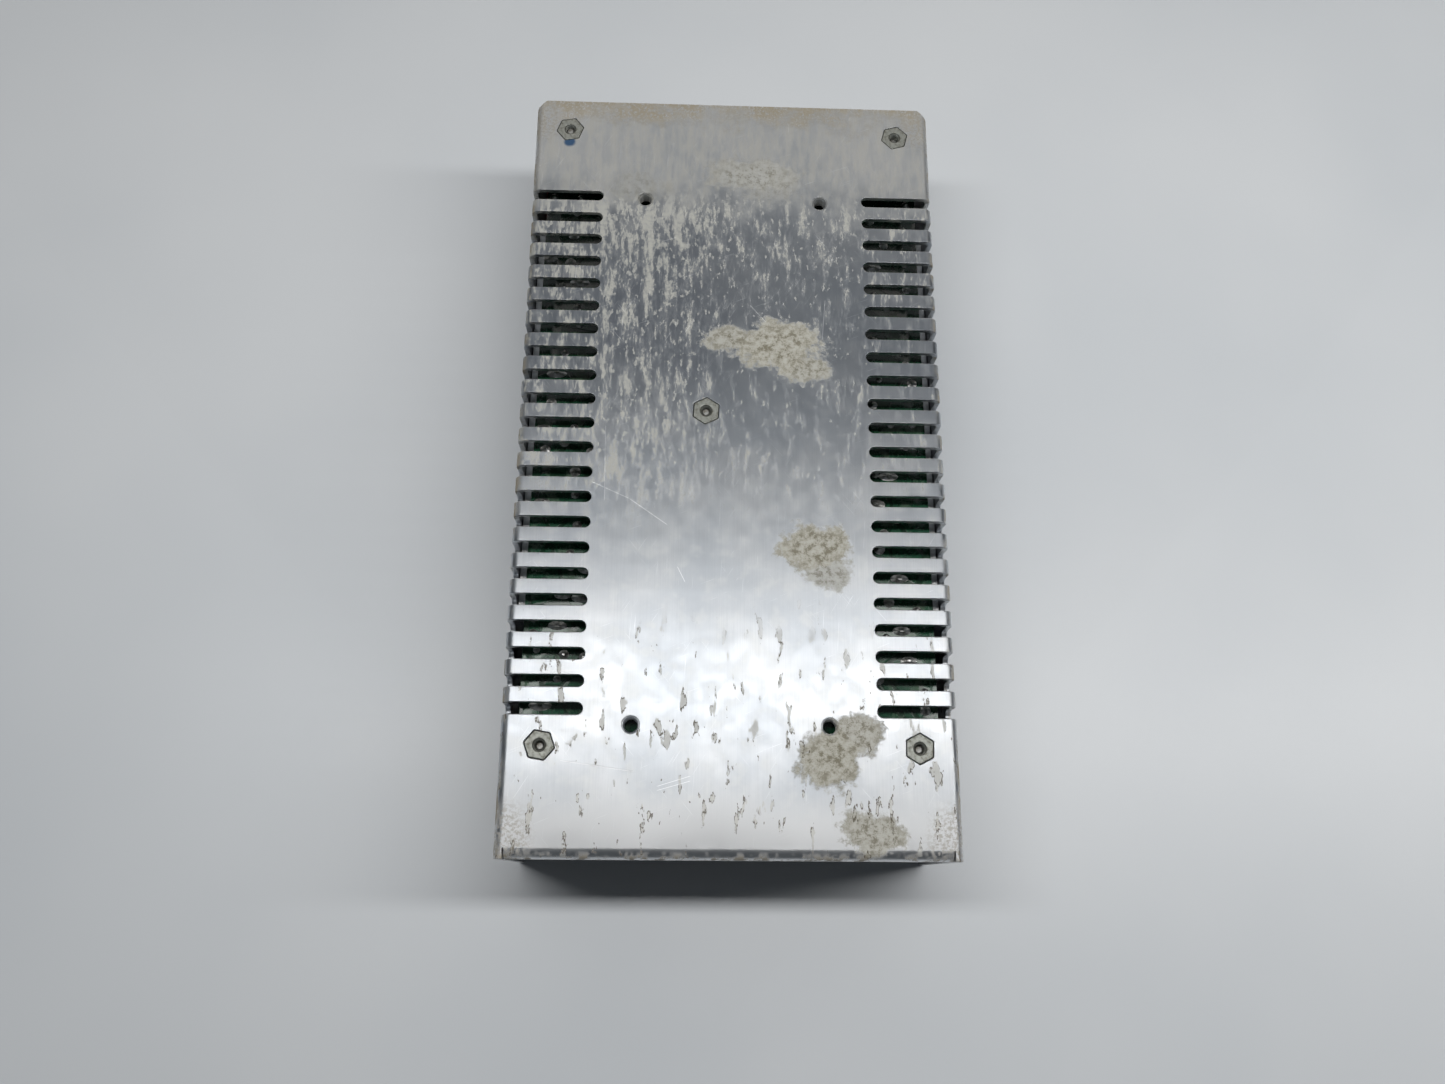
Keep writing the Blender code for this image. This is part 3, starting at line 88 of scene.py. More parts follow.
X, Y, Z = (Vector(axis) for axis in Matrix.Identity(3))
SIDES = (-1, 1)
CORNERS = [(sx, sy) for sx in SIDES for sy in SIDES]


# ---------------------------------------------------------------- materials
class Paint:
    """A Principled material and short names for the nodes that drive it; lengths are in mm."""

    def __init__(self, name, colour, roughness, metallic=0.0, **constants):
        self.material = bpy.data.materials.new(name)
        self.material.use_nodes = True
        self.tree = self.material.node_tree
        self.inputs = self.tree.nodes["Principled BSDF"].inputs
        self.finish(colour, roughness, metallic)
        for socket, value in constants.items():
            self.inputs[socket.replace("_", " ")].default_value = value
        self.place = self.node("TexCoord", "Object", {})

    def finish(self, colour, roughness, metallic=None):
        self.feed(self.inputs["Base Color"], colour)
        self.feed(self.inputs["Roughness"], roughness)
        if metallic is not None:
            self.feed(self.inputs["Metallic"], metallic)

    def node(self, kind, output, inputs, **settings):
        """One output of a new node, with its inputs fed by name or number."""
        made = self.tree.nodes.new("ShaderNode" + kind)
        for key, value in settings.items():
            setattr(made, key, value)
        for key, value in inputs.items():
            self.feed(made.inputs[key], value)
        return made.outputs[output]

    def feed(self, socket, value):
        if isinstance(value, bpy.types.NodeSocket):
            self.tree.links.new(value, socket)
        elif isinstance(value, (tuple, list)) and len(socket.default_value) == 4:
            socket.default_value = (*value[:3], 1)
        else:
            socket.default_value = value

    def spot(self, stretch=(1, 1, 1), shift=(0, 0, 0), turn=0.0):
        """Object coordinates in mm, turned about Z, then stretched and shifted."""
        place = self.place
        if turn:
            place = self.node("Mapping", "Vector", {"Vector": place, "Rotation": (0, 0, turn)})
        scale = [s / MM for s in stretch]
        return self.node("Mapping", "Vector", {"Vector": place, "Scale": scale, "Location": shift})

    def noise(self, scale, detail=3.0, rough=0.5, stretch=(1, 1, 1), shift=(0, 0, 0), turn=0.0):
        place = self.spot(stretch, shift, turn)
        inputs = {"Vector": place, "Scale": scale, "Detail": detail, "Roughness": rough}
        return self.node("TexNoise", "Fac", inputs)

    def seams(self, scale, stretch):
        """Distance to the nearest seam between cells."""
        return self.node("TexVoronoi", "Distance", {"Vector": self.spot(stretch), "Scale": scale},
                         feature="DISTANCE_TO_EDGE", distance="CHEBYCHEV")

    def axis(self, name):
        return self.node("SeparateXYZ", name, {0: self.spot()})

    def step(self, value, low, high):
        """0 below low, 1 above high; low may be above high."""
        ends = {"From Min": min(low, high), "From Max": max(low, high),
                "To Min": int(low > high), "To Max": int(low < high)}
        return self.node("MapRange", "Result", {"Value": value, **ends}, interpolation_type="SMOOTHSTEP")

    def math(self, operation, a, b=0.0):
        return self.node("Math", 0, {0: a, 1: b}, operation=operation)

    def blots(self, low, high, *place, **shape):
        """Noise cut to a share between two levels."""
        return self.step(self.noise(*place, **shape), low, high)

    def wander(self, reach, *place):
        """Noise about zero."""
        return self.math("MULTIPLY", self.math("SUBTRACT", self.noise(*place), 0.5), reach)

    def both(self, *values):
        return reduce(lambda a, b: self.math("MULTIPLY", a, b), values)

    def most(self, *values):
        return reduce(lambda a, b: self.math("MAXIMUM", a, b), values)

    def mix(self, share, a, b):
        """Blend of two colours, or of two numbers, by a share."""
        if isinstance(a, (tuple, list)) or getattr(a, "type", "") == "RGBA":
            return self.node("Mix", 2, {0: share, 6: a, 7: b}, data_type="RGBA")
        return self.node("Mix", 0, {0: share, 2: a, 3: b}, data_type="FLOAT")

    def disc(self, x, y, half_x, half_y, edge, warp):
        """Soft blot round a point of the XY plane, with an uneven rim."""
        squares = []
        for name, centre, half in (("X", x, half_x), ("Y", y, half_y)):
            share = self.math("DIVIDE", self.math("SUBTRACT", self.axis(name), centre), half)
            squares.append(self.math("POWER", self.math("ABSOLUTE", share), 2.0))
        reach = self.math("ADD", self.math("SQRT", self.math("ADD", *squares)), warp)
        return self.step(reach, 1.0 + edge / 2, 1.0 - edge / 2)

    def line(self, start, end, width):
        """Thin straight mark between two points of the XY plane."""
        dx, dy = end[0] - start[0], end[1] - start[1]
        length = math.hypot(dx, dy)
        x = self.math("SUBTRACT", self.axis("X"), start[0])
        y = self.math("SUBTRACT", self.axis("Y"), start[1])

        def reach(ux, uy):
            parts = self.math("MULTIPLY", x, ux), self.math("MULTIPLY", y, uy)
            return self.math("ADD", *parts)

        along = reach(dx / length, dy / length)
        off = self.math("ABSOLUTE", reach(-dy / length, dx / length))
        fade = 0.3
        inside = self.both(self.step(along, -fade, fade), self.step(along, length + fade, length - fade))
        return self.both(self.step(off, width, width * 0.4), inside)

    def bump(self, height, depth, strength=1.0):
        """Relief with a depth in mm; several calls add up."""
        normal = self.inputs["Normal"]
        inputs = {"Height": height, "Distance": depth * MM, "Strength": strength}
        if normal.links:
            inputs["Normal"] = normal.links[0].from_socket
        self.feed(normal, self.node("Bump", "Normal", inputs))


PATCHES = (             # middle X, Y, half width, half length, strength: pale, mottled deposits
    (13, 30, 12, 7.5, 1.0),
    (-1, 31.5, 7, 3.5, 0.9),
    (21, 23, 6, 4.5, 0.9),
    (22, -28, 9, 6.5, 1.0),
    (25, -35, 6, 4.5, 0.7),
    (25, -83, 8, 7, 1.0),
    (32, -77, 7, 5, 0.9),
    (35, -101, 8, 5, 0.9),
    (5, 84, 14, 5, 0.55),
    (-27, 79, 8, 5, 0.25),
    (12, 81, 9, 6, 0.3),
)
HAIRS = ((0.55, 3), (-0.7, 9), (1.2, 15), (0.06, 21))      # direction and seed of fine hairlines
SCRATCHES = (           # start, end and half width
    ((-37, -11), (-27, -15.5), 0.14),
    ((-27, -15.5), (-17, -22.5), 0.14),
    ((-34, 5), (-33.6, -16), 0.10),
    ((-42, -84), (-24, -86.5), 0.09),
    ((-18, -90), (-10, -87.5), 0.09),
    ((-18, -91), (-10, -88.7), 0.09),
    ((26, 44), (25, 32), 0.12),
    ((5, 42), (11, 35), 0.14),
    ((-14, -34), (-12, -38), 0.12),
)


def zinc_sheet():
    """Bare zinc-coated sheet: rolling grain along Y, dried drips, deposits, cracks and scratches, with a
    band of painted shade across its middle.
    """
    p = Paint("zinc_sheet", (0.62, 0.63, 0.64), 0.3, 1.0)
    x, y, z = p.axis("X"), p.axis("Y"), p.axis("Z")
    grain = p.noise(1.0, 4, 0.65, (3.2, 0.05, 3.2))
    cloud = p.noise(0.035, 5, 0.6)
    mottle = p.noise(0.22, 2, 0.5)
    fine = p.noise(1.1, 5, 0.7)
    ragged_y = p.math("ADD", y, p.wander(30, 0.11, 4, 0.6))

    steel = p.mix(p.step(cloud, 0.3, 0.7), (0.50, 0.53, 0.565), (0.64, 0.655, 0.67))
    steel = p.mix(p.both(p.step(mottle, 0.5, 0.7), 0.35), steel, (0.70, 0.71, 0.70))
    steel = p.mix(p.both(p.step(grain, 0.35, 0.75), 0.25), steel, (0.42, 0.44, 0.47))
    # painted shade: the metal's colour is darkened in a band across the middle of the plate, most on the
    # left, standing in for the dim ceiling it mirrors there
    dark = p.both(p.step(ragged_y, -16, 32), p.step(ragged_y, 84, 62))
    steel = p.mix(p.both(dark, p.mix(p.step(x, 20, -20), 0.6, 0.85)), steel, (0.25, 0.27, 0.30))
    steel = p.mix(p.step(y, -88, -102), steel, (0.72, 0.73, 0.74))

    film = p.step(ragged_y, 66, 84)
    streaks = p.noise(0.45, 6, 0.7, (1.0, 0.22, 1.0), (9, 1, 0))
    film = p.both(film, p.mix(p.step(streaks, 0.38, 0.62), 0.25, 0.9))

    band = p.both(p.step(ragged_y, -26, -4), p.step(y, 84, 70))
    left = p.mix(p.step(x, 8, -22), 0.0, 0.055)
    high = p.mix(p.step(ragged_y, 38, 66), 0.0, 0.04)
    lean = p.math("ADD", left, high)
    long_drips = p.math("ADD", p.noise(0.36, 7, 0.76, (1.0, 0.26, 1.0)), lean)
    drips = p.step(long_drips, 0.595, 0.625)
    small = p.math("ADD", p.noise(0.75, 4, 0.6, (1.0, 0.45, 1.0), (7, 3, 0)), lean)
    drips = p.most(drips, p.both(p.step(small, 0.63, 0.67), 0.85))
    face = p.step(z, -6, -2)
    drips = p.both(drips, band, p.mix(p.step(fine, 0.34, 0.56), 0.45, 0.95), p.mix(face, 0.3, 1.0))
    veil = p.both(p.step(long_drips, 0.50, 0.62), band, 0.2)

    warp = p.math("ADD", p.wander(1.5, 0.16, 3, 0.6), p.wander(1.3, 0.55, 6, 0.8))
    patches, cores = (p.most(*(p.both(p.disc(px, py, wide * share, long * share, edge, warp), strength)
                               for px, py, wide, long, strength in PATCHES))
                      for share, edge in ((1.0, 0.34), (0.75, 0.9)))
    clump = p.noise(0.5, 7, 0.78, shift=(2, 8, 0))
    specks = p.both(p.step(clump, 0.515, 0.565), cores)

    near_end = p.step(ragged_y, -44, -58)
    field = p.noise(0.36, 4, 0.55, (1.0, 0.30, 1.0), (3, 5, 0))
    outline = p.step(p.math("ABSOLUTE", p.math("SUBTRACT", field, 0.625)), 0.020, 0.008)
    inside = p.step(field, 0.62, 0.635)
    broken = p.both(p.blots(0.42, 0.5, 0.5, 3, 0.6, shift=(1, 2, 0)),
                    p.blots(0.40, 0.50, 0.09, 3, 0.6, shift=(5, 2, 0)))
    cracks = p.both(outline, near_end, broken)
    filled = p.both(inside, near_end, 0.45)
    pits = p.both(p.blots(0.735, 0.765, 0.95, 2, 0.4, (1.0, 0.42, 1.0), (3, 5, 0)), near_end)

    across, along = p.math("ABSOLUTE", x), p.math("ABSOLUTE", y)
    rim = p.most(p.step(across, 55.4, 57.3), p.step(y, -105.2, -107.2), p.step(y, 104.5, 107.2))
    grime = p.both(rim, p.blots(0.47, 0.60, 0.30, 5, 0.7, (1, 0.4, 1)), p.mix(face, 0.12, 1.0))
    corner = p.both(p.step(across, 44, 57), p.step(along, 88, 107))
    corner = p.both(p.step(corner, 0.05, 0.5), p.step(fine, 0.44, 0.58), p.mix(face, 0.5, 1.0))
    edge_dirt = p.both(p.step(ragged_y, 98, 109), p.step(fine, 0.36, 0.52))
    grime = p.most(grime, p.both(corner, 0.6), edge_dirt)

    scratches = p.most(*(p.line(*scratch) for scratch in SCRATCHES))
    hairs = p.most(*(p.both(p.blots(0.695, 0.72, 2.4, 2, 0.5, (1.5, 0.03, 1.5), (seed, 0, 0), turn),
                            p.blots(0.46, 0.58, 0.07, 2, 0.5, shift=(seed, 4, 0)))
                     for turn, seed in HAIRS))

    crust = p.mix(p.step(clump, 0.38, 0.56), (0.40, 0.395, 0.355), (0.30, 0.29, 0.245))
    ink = p.disc(-47.5, 93.6, 1.6, 1.5, 0.6, p.both(warp, 0.4))
    layers = ((film, 0.75, (0.46, 0.45, 0.41)),
              (veil, 1.0, (0.42, 0.42, 0.40)),
              (drips, 1.0, (0.43, 0.43, 0.395)),
              (filled, 1.0, (0.50, 0.485, 0.42)),
              (hairs, 0.5, (0.85, 0.87, 0.89)),
              (scratches, 0.8, (0.90, 0.91, 0.92)),
              (patches, 1.0, crust),
              (specks, 0.85, (0.15, 0.138, 0.10)),
              (grime, 0.8, (0.22, 0.18, 0.11)),
              (p.most(cracks, pits), 0.9, (0.07, 0.055, 0.035)),
              (ink, 0.9, (0.02, 0.10, 0.24)))
    colour = steel
    for share, strength, tone in layers:
        colour = p.mix(p.both(share, strength), colour, tone)

    dull = p.most(p.both(drips, 0.8), p.both(film, 0.35), patches, p.both(grime, 0.9), veil,
                  p.both(filled, 0.8))
    rough = p.mix(p.step(mottle, 0.3, 0.7), BRIGHTEST, 0.34)
    p.finish(colour, p.mix(dull, rough, 0.7), p.mix(p.most(dull, cracks, pits), 1.0, 0.12))
    p.bump(grain, 0.010, 0.35)
    p.bump(p.both(scratches, 0.8), -0.02, 0.4)
    p.bump(p.most(p.both(drips, 0.6), patches), 0.03, 0.4)
    p.bump(p.noise(0.035, 0, 0.5), 0.6, 0.35)
    return p.material


def cover_steel():
    """The same coated sheet, cleaner, with its grain along Y."""
    p = Paint("cover_steel", (0.58, 0.59, 0.60), 0.36, 1.0)
    grain = p.noise(1.0, 4, 0.65, (3.0, 0.05, 3.0))
    cloud = p.noise(0.04, 5, 0.6)
    steel = p.mix(p.step(cloud, 0.3, 0.7), (0.52, 0.535, 0.55), (0.65, 0.655, 0.66))
    dust = p.blots(0.56, 0.7, 0.6, 5, 0.65)
    p.finish(p.mix(p.both(dust, 0.4), steel, (0.50, 0.48, 0.43)),
             p.mix(dust, p.mix(p.step(grain, 0.3, 0.7), 0.30, 0.42), 0.6))
    p.bump(grain, 0.012, 0.35)
    return p.material


def plated(name, colour, rough, dirt, scale=1.0):
    """Plated or bare metal with a little dirt on it."""
    p = Paint(name, colour, rough, 0.9)
    patch = p.noise(0.9 * scale, 5, 0.65)
    p.finish(p.mix(p.step(patch, 0.42, 0.68), colour, dirt),
             p.mix(p.step(patch, 0.4, 0.7), rough, min(rough + 0.25, 1)))
    p.bump(p.noise(3.0 * scale, 4, 0.6), 0.02, 0.5)
    return p.material


def plastic(name, colour, rough, grain=0.02, scale=2.5, dust=0.12, **constants):
    """Moulded plastic: fine grain, and dust in its hollows."""
    p = Paint(name, colour, rough, 0.0, **constants)
    patch = p.noise(0.25, 4, 0.6)
    pale = tuple(min(c + dust * 0.35, 1) for c in colour)
    p.finish(p.mix(p.both(p.step(patch, 0.45, 0.7), 0.6), colour, pale),
             p.mix(p.step(patch, 0.35, 0.7), rough, min(rough + 0.14, 1)))
    p.bump(p.noise(scale, 3, 0.5), grain, 0.6)
    return p.material


def green_board():
    """Solder mask over copper: traces and pours stand out lighter, the bare gaps are darker; the whole
    mask is painted far darker than its green, as painted shade under the plate.
    """
    p = Paint("green_board", (0.03, 0.22, 0.10), 0.22, 0.0, Coat_Weight=0.4)
    pours = p.seams(0.11, (1, 0.6, 1))
    gaps = p.step(pours, 0.06, 0.03)
    weave = p.noise(1.6, 2)
    # painted shade: these greens are darkened almost to black, standing in for the shade under the plate
    copper = p.mix(p.step(weave, 0.3, 0.7), (0.006, 0.030, 0.016), (0.012, 0.056, 0.029))
    colour = p.mix(gaps, copper, (0.005, 0.022, 0.011))
    flux = p.blots(0.52, 0.66, 0.2, 5, 0.65)
    p.finish(p.mix(p.both(flux, 0.45), colour, (0.07, 0.11, 0.07)), p.mix(flux, 0.2, 0.5))
    p.bump(gaps, -0.035, 0.8)
    p.bump(weave, 0.01, 0.4)
    return p.material


def solder():
    p = Paint("solder", (0.5, 0.5, 0.49), 0.24, 1.0)
    dull = p.noise(0.9, 4, 0.6)
    p.finish(p.mix(p.step(dull, 0.45, 0.7), (0.55, 0.55, 0.54), (0.26, 0.255, 0.23)),
             p.mix(p.step(dull, 0.4, 0.7), BRIGHTEST, 0.46))
    p.bump(dull, 0.05, 0.5)
    return p.material


def wound(name, colour, dark, pitch):
    """Tape or sleeve with fine bands across Z."""
    p = Paint(name, colour, 0.34, 0.0)
    bands = p.math("FRACT", p.math("DIVIDE", p.axis("Z"), pitch))
    seam = p.step(bands, 0.08, 0.02)
    patch = p.noise(0.3, 4, 0.6)
    p.finish(p.mix(p.math("MAXIMUM", seam, p.both(p.step(patch, 0.5, 0.75), 0.35)), colour, dark),
             p.mix(p.step(patch, 0.4, 0.7), 0.28, 0.46))
    p.bump(seam, -0.08, 0.7)
    return p.material


def table_top():
    """Pale, slightly glossy table."""
    p = Paint("table_top", (0.50, 0.525, 0.55), 0.34, 0.0, IOR=1.6)
    cloud = p.noise(0.006, 3, 0.5)
    speck = p.noise(0.5, 4, 0.6)
    p.finish(p.mix(p.step(cloud, 0.3, 0.7), (0.485, 0.51, 0.535), (0.53, 0.55, 0.57)),
             p.mix(p.step(speck, 0.4, 0.7), 0.30, 0.36))
    p.bump(speck, 0.02, 0.25)
    return p.material


FINISHES = {maker.__name__: maker() for maker in (zinc_sheet, cover_steel, green_board, solder)}
for maker, name, *look, more in (
        (plated, "olive_zinc", (0.42, 0.43, 0.395), 0.40, (0.25, 0.25, 0.21), {}),
        (plated, "screw_steel", (0.50, 0.50, 0.48), 0.42, (0.33, 0.31, 0.27), {}),
        (plastic, "black_plastic", (0.018, 0.018, 0.02), 0.42, {}),
        (plastic, "fan_plastic", (0.022, 0.022, 0.024), 0.36, 0.015, {}),
        (plastic, "device_epoxy", (0.025, 0.025, 0.027), 0.55, 0.03, 4.0, {}),
        (plastic, "smoked_plastic", (0.03, 0.03, 0.034), 0.16, 0.006, {}),
        (plastic, "red_plastic", (0.50, 0.025, 0.02), 0.35, {}),
        (plastic, "blue_plastic", (0.02, 0.10, 0.42), 0.38, {}),
        (plastic, "white_plastic", (0.74, 0.72, 0.66), 0.42, dict(dust=-0.3)),
        (plastic, "lamp_green", (0.10, 0.52, 0.14), 0.10, 0.004, dict(Transmission_Weight=0.35)),
        (wound, "can_sleeve", (0.02, 0.022, 0.04), (0.05, 0.05, 0.07), 40.0, {}),
        (wound, "yellow_plastic", (0.80, 0.52, 0.04), (0.52, 0.30, 0.02), 3.6, {}),
        (plastic, "ferrite", (0.055, 0.055, 0.06), 0.5, 0.05, 5.0, {}),
        (plated, "copper_wire", (0.72, 0.30, 0.11), 0.29, (0.45, 0.17, 0.06), {}),
        (plated, "aluminium", (0.74, 0.75, 0.76), 0.34, (0.6, 0.6, 0.6), 0.4, {}),
        (plastic, "fuse_glass", (0.62, 0.64, 0.63), 0.08, 0.004, dict(Transmission_Weight=0.6)),
        (plastic, "lead_red", (0.45, 0.02, 0.02), 0.38, {}),
):
    FINISHES[name] = maker(name, *look, **more)


# ---------------------------------------------------------------- modelling helpers
def orient(mesh):
    """Smooth shading with sharp edges where faces meet at a clear angle."""
    mesh.shade_smooth()
    mesh.set_sharp_from_angle(angle=math.radians(35))
    return mesh


def add(name, mesh, finish, body="case", node=None, place=None, even=False):
    """Link a piece with its finish, let it ride on a body, and let it stand for CAD nodes."""
    mesh.transform(Matrix.Scale(MM, 4))
    piece = bpy.data.objects.new(name, mesh)
    bpy.context.scene.collection.objects.link(piece)
    if place:
        piece.matrix_world = Matrix.Scale(MM, 4) @ place @ Matrix.Scale(1 / MM, 4)
    mesh.materials.clear()
    mesh.materials.append(FINISHES[finish])
    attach(piece, body)
    if node:
        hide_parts(node)
    if even:
        even_normals(piece)
    return piece


def even_normals(piece):
    """Let the large flat faces set the normals, so that rounded edges don't shade them."""
    piece.modifiers.new("Even", "WEIGHTED_NORMAL").keep_sharp = True


def mesh_from(bm):
    mesh = bpy.data.meshes.new("mesh")
    bm.to_mesh(mesh)
    bm.free()
    return orient(mesh)


def joined(meshes):
    """One mesh with the shells of several."""
    bm = bmesh.new()
    for mesh in meshes:
        bm.from_mesh(mesh)
    return mesh_from(bm)


def moved(mesh, matrix):
    copy = mesh.copy()
    copy.transform(matrix)
    return copy


def box(low, high):
    low, high = Vector(low), Vector(high)
    bm = bmesh.new()
    bmesh.ops.create_cube(bm, size=1)
    bmesh.ops.scale(bm, vec=high - low, verts=bm.verts)
    bmesh.ops.translate(bm, vec=(low + high) / 2, verts=bm.verts)
    return mesh_from(bm)


def turned(profile, sides=32, closed=False):
    """Mesh turned about Z; a closed profile is a ring's section."""
    bm = bmesh.new()
    rings = []
    for radius, z in profile:
        if radius < MERGE:
            rings.append([bm.verts.new((0, 0, z))])
            continue
        rings.append([bm.verts.new((*polar(radius, math.tau * i / sides), z)) for i in range(sides)])
    pairs = list(zip(rings, rings[1:]))
    if closed:
        pairs.append((rings[-1], rings[0]))
    for upper, lower in pairs:
        for i in range(sides):
            k = (i + 1) % sides
            corners = [upper[i % len(upper)], lower[i % len(lower)],
                       lower[k % len(lower)], upper[k % len(upper)]]
            face = [v for n, v in enumerate(corners) if v not in corners[:n]]
            if len(face) > 2:
                bm.faces.new(face)
    bmesh.ops.recalc_face_normals(bm, faces=bm.faces)
    return mesh_from(bm)


def polar(radius, angle, centre=(0, 0)):
    return centre[0] + radius * math.cos(angle), centre[1] + radius * math.sin(angle)


def arc(centre, radius, start, end, steps):
    return [polar(radius, math.radians(start + (end - start) * i / steps), centre)
            for i in range(steps + 1)]


def slot_outline(start, end, width, steps=12):
    """Slot along X with two round ends."""
    half = width / 2
    return arc((end - half, 0), half, -90, 90, steps) + arc((start + half, 0), half, 90, 270, steps)


def circle(centre, radius, steps=28):
    return arc(centre, radius, 0, 360 - 360 / steps, steps - 1)


def hexagon(centre, radius, turn, corner=0.25):
    """Hexagon with rounded corners; turn is in degrees."""
    points = []
    away = radius - 2 * corner / math.sqrt(3)
    for angle in range(turn, turn + 360, 60):
        spot = polar(away, math.radians(angle), centre)
        points += arc(spot, corner, angle - 30, angle + 30, 3)
    return points


def curve_mesh(curve):
    """Mesh of a curve with its bevel."""
    holder = bpy.data.objects.new("curve", curve)
    bpy.context.scene.collection.objects.link(holder)
    bpy.context.view_layer.update()
    graph = bpy.context.evaluated_depsgraph_get()
    mesh = bpy.data.meshes.new_from_object(holder.evaluated_get(graph))
    bpy.data.objects.remove(holder)
    return mesh


def blank(outlines, thickness, rounding, resolution=2):
    """Flat sheet: outer face at z = 0, the first outline is its edge, the others are holes."""
    curve = bpy.data.curves.new("blank", "CURVE")
    curve.dimensions = "2D"
    curve.fill_mode = "BOTH"
    curve.extrude = thickness / 2 - rounding
    curve.bevel_depth = rounding
    curve.bevel_resolution = resolution
    curve.offset = -rounding
    for outline in outlines:
        spline = curve.splines.new("POLY")
        spline.points.add(len(outline) - 1)
        for point, (x, y) in zip(spline.points, outline):
            point.co = (x, y, 0, 1)
        spline.use_cyclic_u = True
    bm = bmesh.new()
    bm.from_mesh(curve_mesh(curve))
    bmesh.ops.remove_doubles(bm, verts=bm.verts, dist=MERGE)
    bmesh.ops.translate(bm, vec=(0, 0, -thickness / 2), verts=bm.verts)
    bmesh.ops.recalc_face_normals(bm, faces=bm.faces)
    return mesh_from(bm)


def fold(mesh, along, sign, start, radius, steps=8, where=None):
    """Fold down what lies past a line across X (0) or Y (1), over an outer radius."""
    run = radius * math.pi / 2
    bm = bmesh.new()
    bm.from_mesh(mesh)
    for i in range(steps + 1):
        point, normal = Vector(), Vector()
        point[along] = sign * (start + run * i / steps)
        normal[along] = 1
        geometry = bm.verts[:] + bm.edges[:] + bm.faces[:]
        bmesh.ops.bisect_plane(bm, geom=geometry, plane_co=point, plane_no=normal, dist=MERGE)
    for vert in bm.verts:
        reach = sign * vert.co[along] - start
        if reach <= 0 or (where and not where(vert.co)):
            continue
        angle = min(reach / radius, math.pi / 2)
        arm = radius + vert.co.z
        vert.co[along] = sign * (start + arm * math.sin(angle))
        vert.co.z = -radius + arm * math.cos(angle) - max(reach - run, 0)
    bm.to_mesh(mesh)
    bm.free()
    return orient(mesh)


def frame_at(origin, x, y):
    """Matrix that puts local X and Y along two unit directions."""
    return Matrix.Translation(origin) @ Matrix((x, y, x.cross(y))).transposed().to_4x4()


def rotation(degrees, axis="Z"):
    return Matrix.Rotation(math.radians(degrees), 4, axis)


def at(x, y, z):
    return Matrix.Translation((x, y, z))


def span(node):
    """Low corner, high corner and middle of a CAD node's box."""
    low, high = (Vector(corner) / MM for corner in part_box(node))
    return low, high, (low + high) / 2


def middle(node):
    return span(node)[2]


def rectangle(x_low, x_high, y_low, y_high, corner=0.0, steps=4):
    if not corner:
        return [(x_low, y_low), (x_high, y_low), (x_high, y_high), (x_low, y_high)]
    points = []
    spots = ((x_high, y_high, -1, -1), (x_low, y_high, 1, -1), (x_low, y_low, 1, 1),
             (x_high, y_low, -1, 1))
    for i, (x, y, sx, sy) in enumerate(spots):
        points += arc((x + sx * corner, y + sy * corner), corner, 90 * i, 90 * i + 90, steps)
    return points


def panel(half_x, half_y, corner=0.0, steps=4):
    return rectangle(-half_x, half_x, -half_y, half_y, corner, steps)


def tube(points, radius, sides=10):
    """Round wire through points, with flat ends."""
    curve = bpy.data.curves.new("tube", "CURVE")
    curve.dimensions = "3D"
    curve.bevel_depth = radius
    curve.bevel_resolution = max(1, sides // 4)
    curve.use_fill_caps = True
    spline = curve.splines.new("POLY")
    spline.points.add(len(points) - 1)
    for target, point in zip(spline.points, points):
        target.co = (*point, 1)
    return orient(curve_mesh(curve))


def grid(rows, across_closed=True):
    """Mesh through rows of points, each closed on itself unless told otherwise; ends stay open."""
    bm = bmesh.new()
    made = [[bm.verts.new(point) for point in row] for row in rows]
    count = len(made[0])
    for first, second in zip(made, made[1:]):
        for i in range(count if across_closed else count - 1):
            k = (i + 1) % count
            bm.faces.new((first[i], first[k], second[k], second[i]))
    return bm


def threaded(minor, major, pitch, length, outer, sides=28):
    """Sleeve down from z = 0 with a helical thread in its bore; outer is a profile of (radius, z)."""
    steps = max(8, round(length / pitch * 8))
    rows = []
    for i in range(steps + 1):
        z = -length * i / steps
        row = []
        for k in range(sides):
            phase = (z / pitch + k / sides) % 1
            wave = 1 - abs(2 * phase - 1)
            end = min(1, -z / (0.6 * pitch))
            radius = major - (major - minor) * wave
            radius = major + (radius - major) * end
            row.append((*polar(radius, math.tau * k / sides), z))
        rows.append(row)
    for radius, z in outer:
        rows.append([(*polar(radius, math.tau * k / sides), z) for k in range(sides)])
    rows.append(rows[0])
    bm = grid(rows)
    bmesh.ops.remove_doubles(bm, verts=bm.verts, dist=MERGE / 10)
    bmesh.ops.recalc_face_normals(bm, faces=bm.faces)
    return mesh_from(bm)


def cross(arm, width):
    """Outline of a cross-shaped recess."""
    a, w = arm / 2, width / 2
    return [(a, -w), (a, w), (w, w), (w, a), (-w, a), (-w, w), (-a, w), (-a, -w), (-w, -w), (-w, -a),
            (w, -a), (w, -w)]


def flat_head(head, shank, length):
    """Countersunk screw down from z = 0 with a cross recess."""
    radius, slope = head / 2, (head - shank) / 2
    depth = slope * 0.8
    top = blank([circle((0, 0), radius, 32), cross(head * 0.56, head * 0.13)], depth, 0.08, 1)
    for vert in top.vertices:
        reach = math.hypot(vert.co.x, vert.co.y)
        if reach > radius * 0.8:
            shrink = (radius + vert.co.z) / radius
            vert.co.x *= shrink
            vert.co.y *= shrink
    low = radius - depth * 0.7
    shaft = turned([(0, -depth * 0.7), (low, -depth * 0.7), (shank / 2, -slope), (shank / 2, -length),
                    (0, -length)], 24)
    return joined([top, shaft])


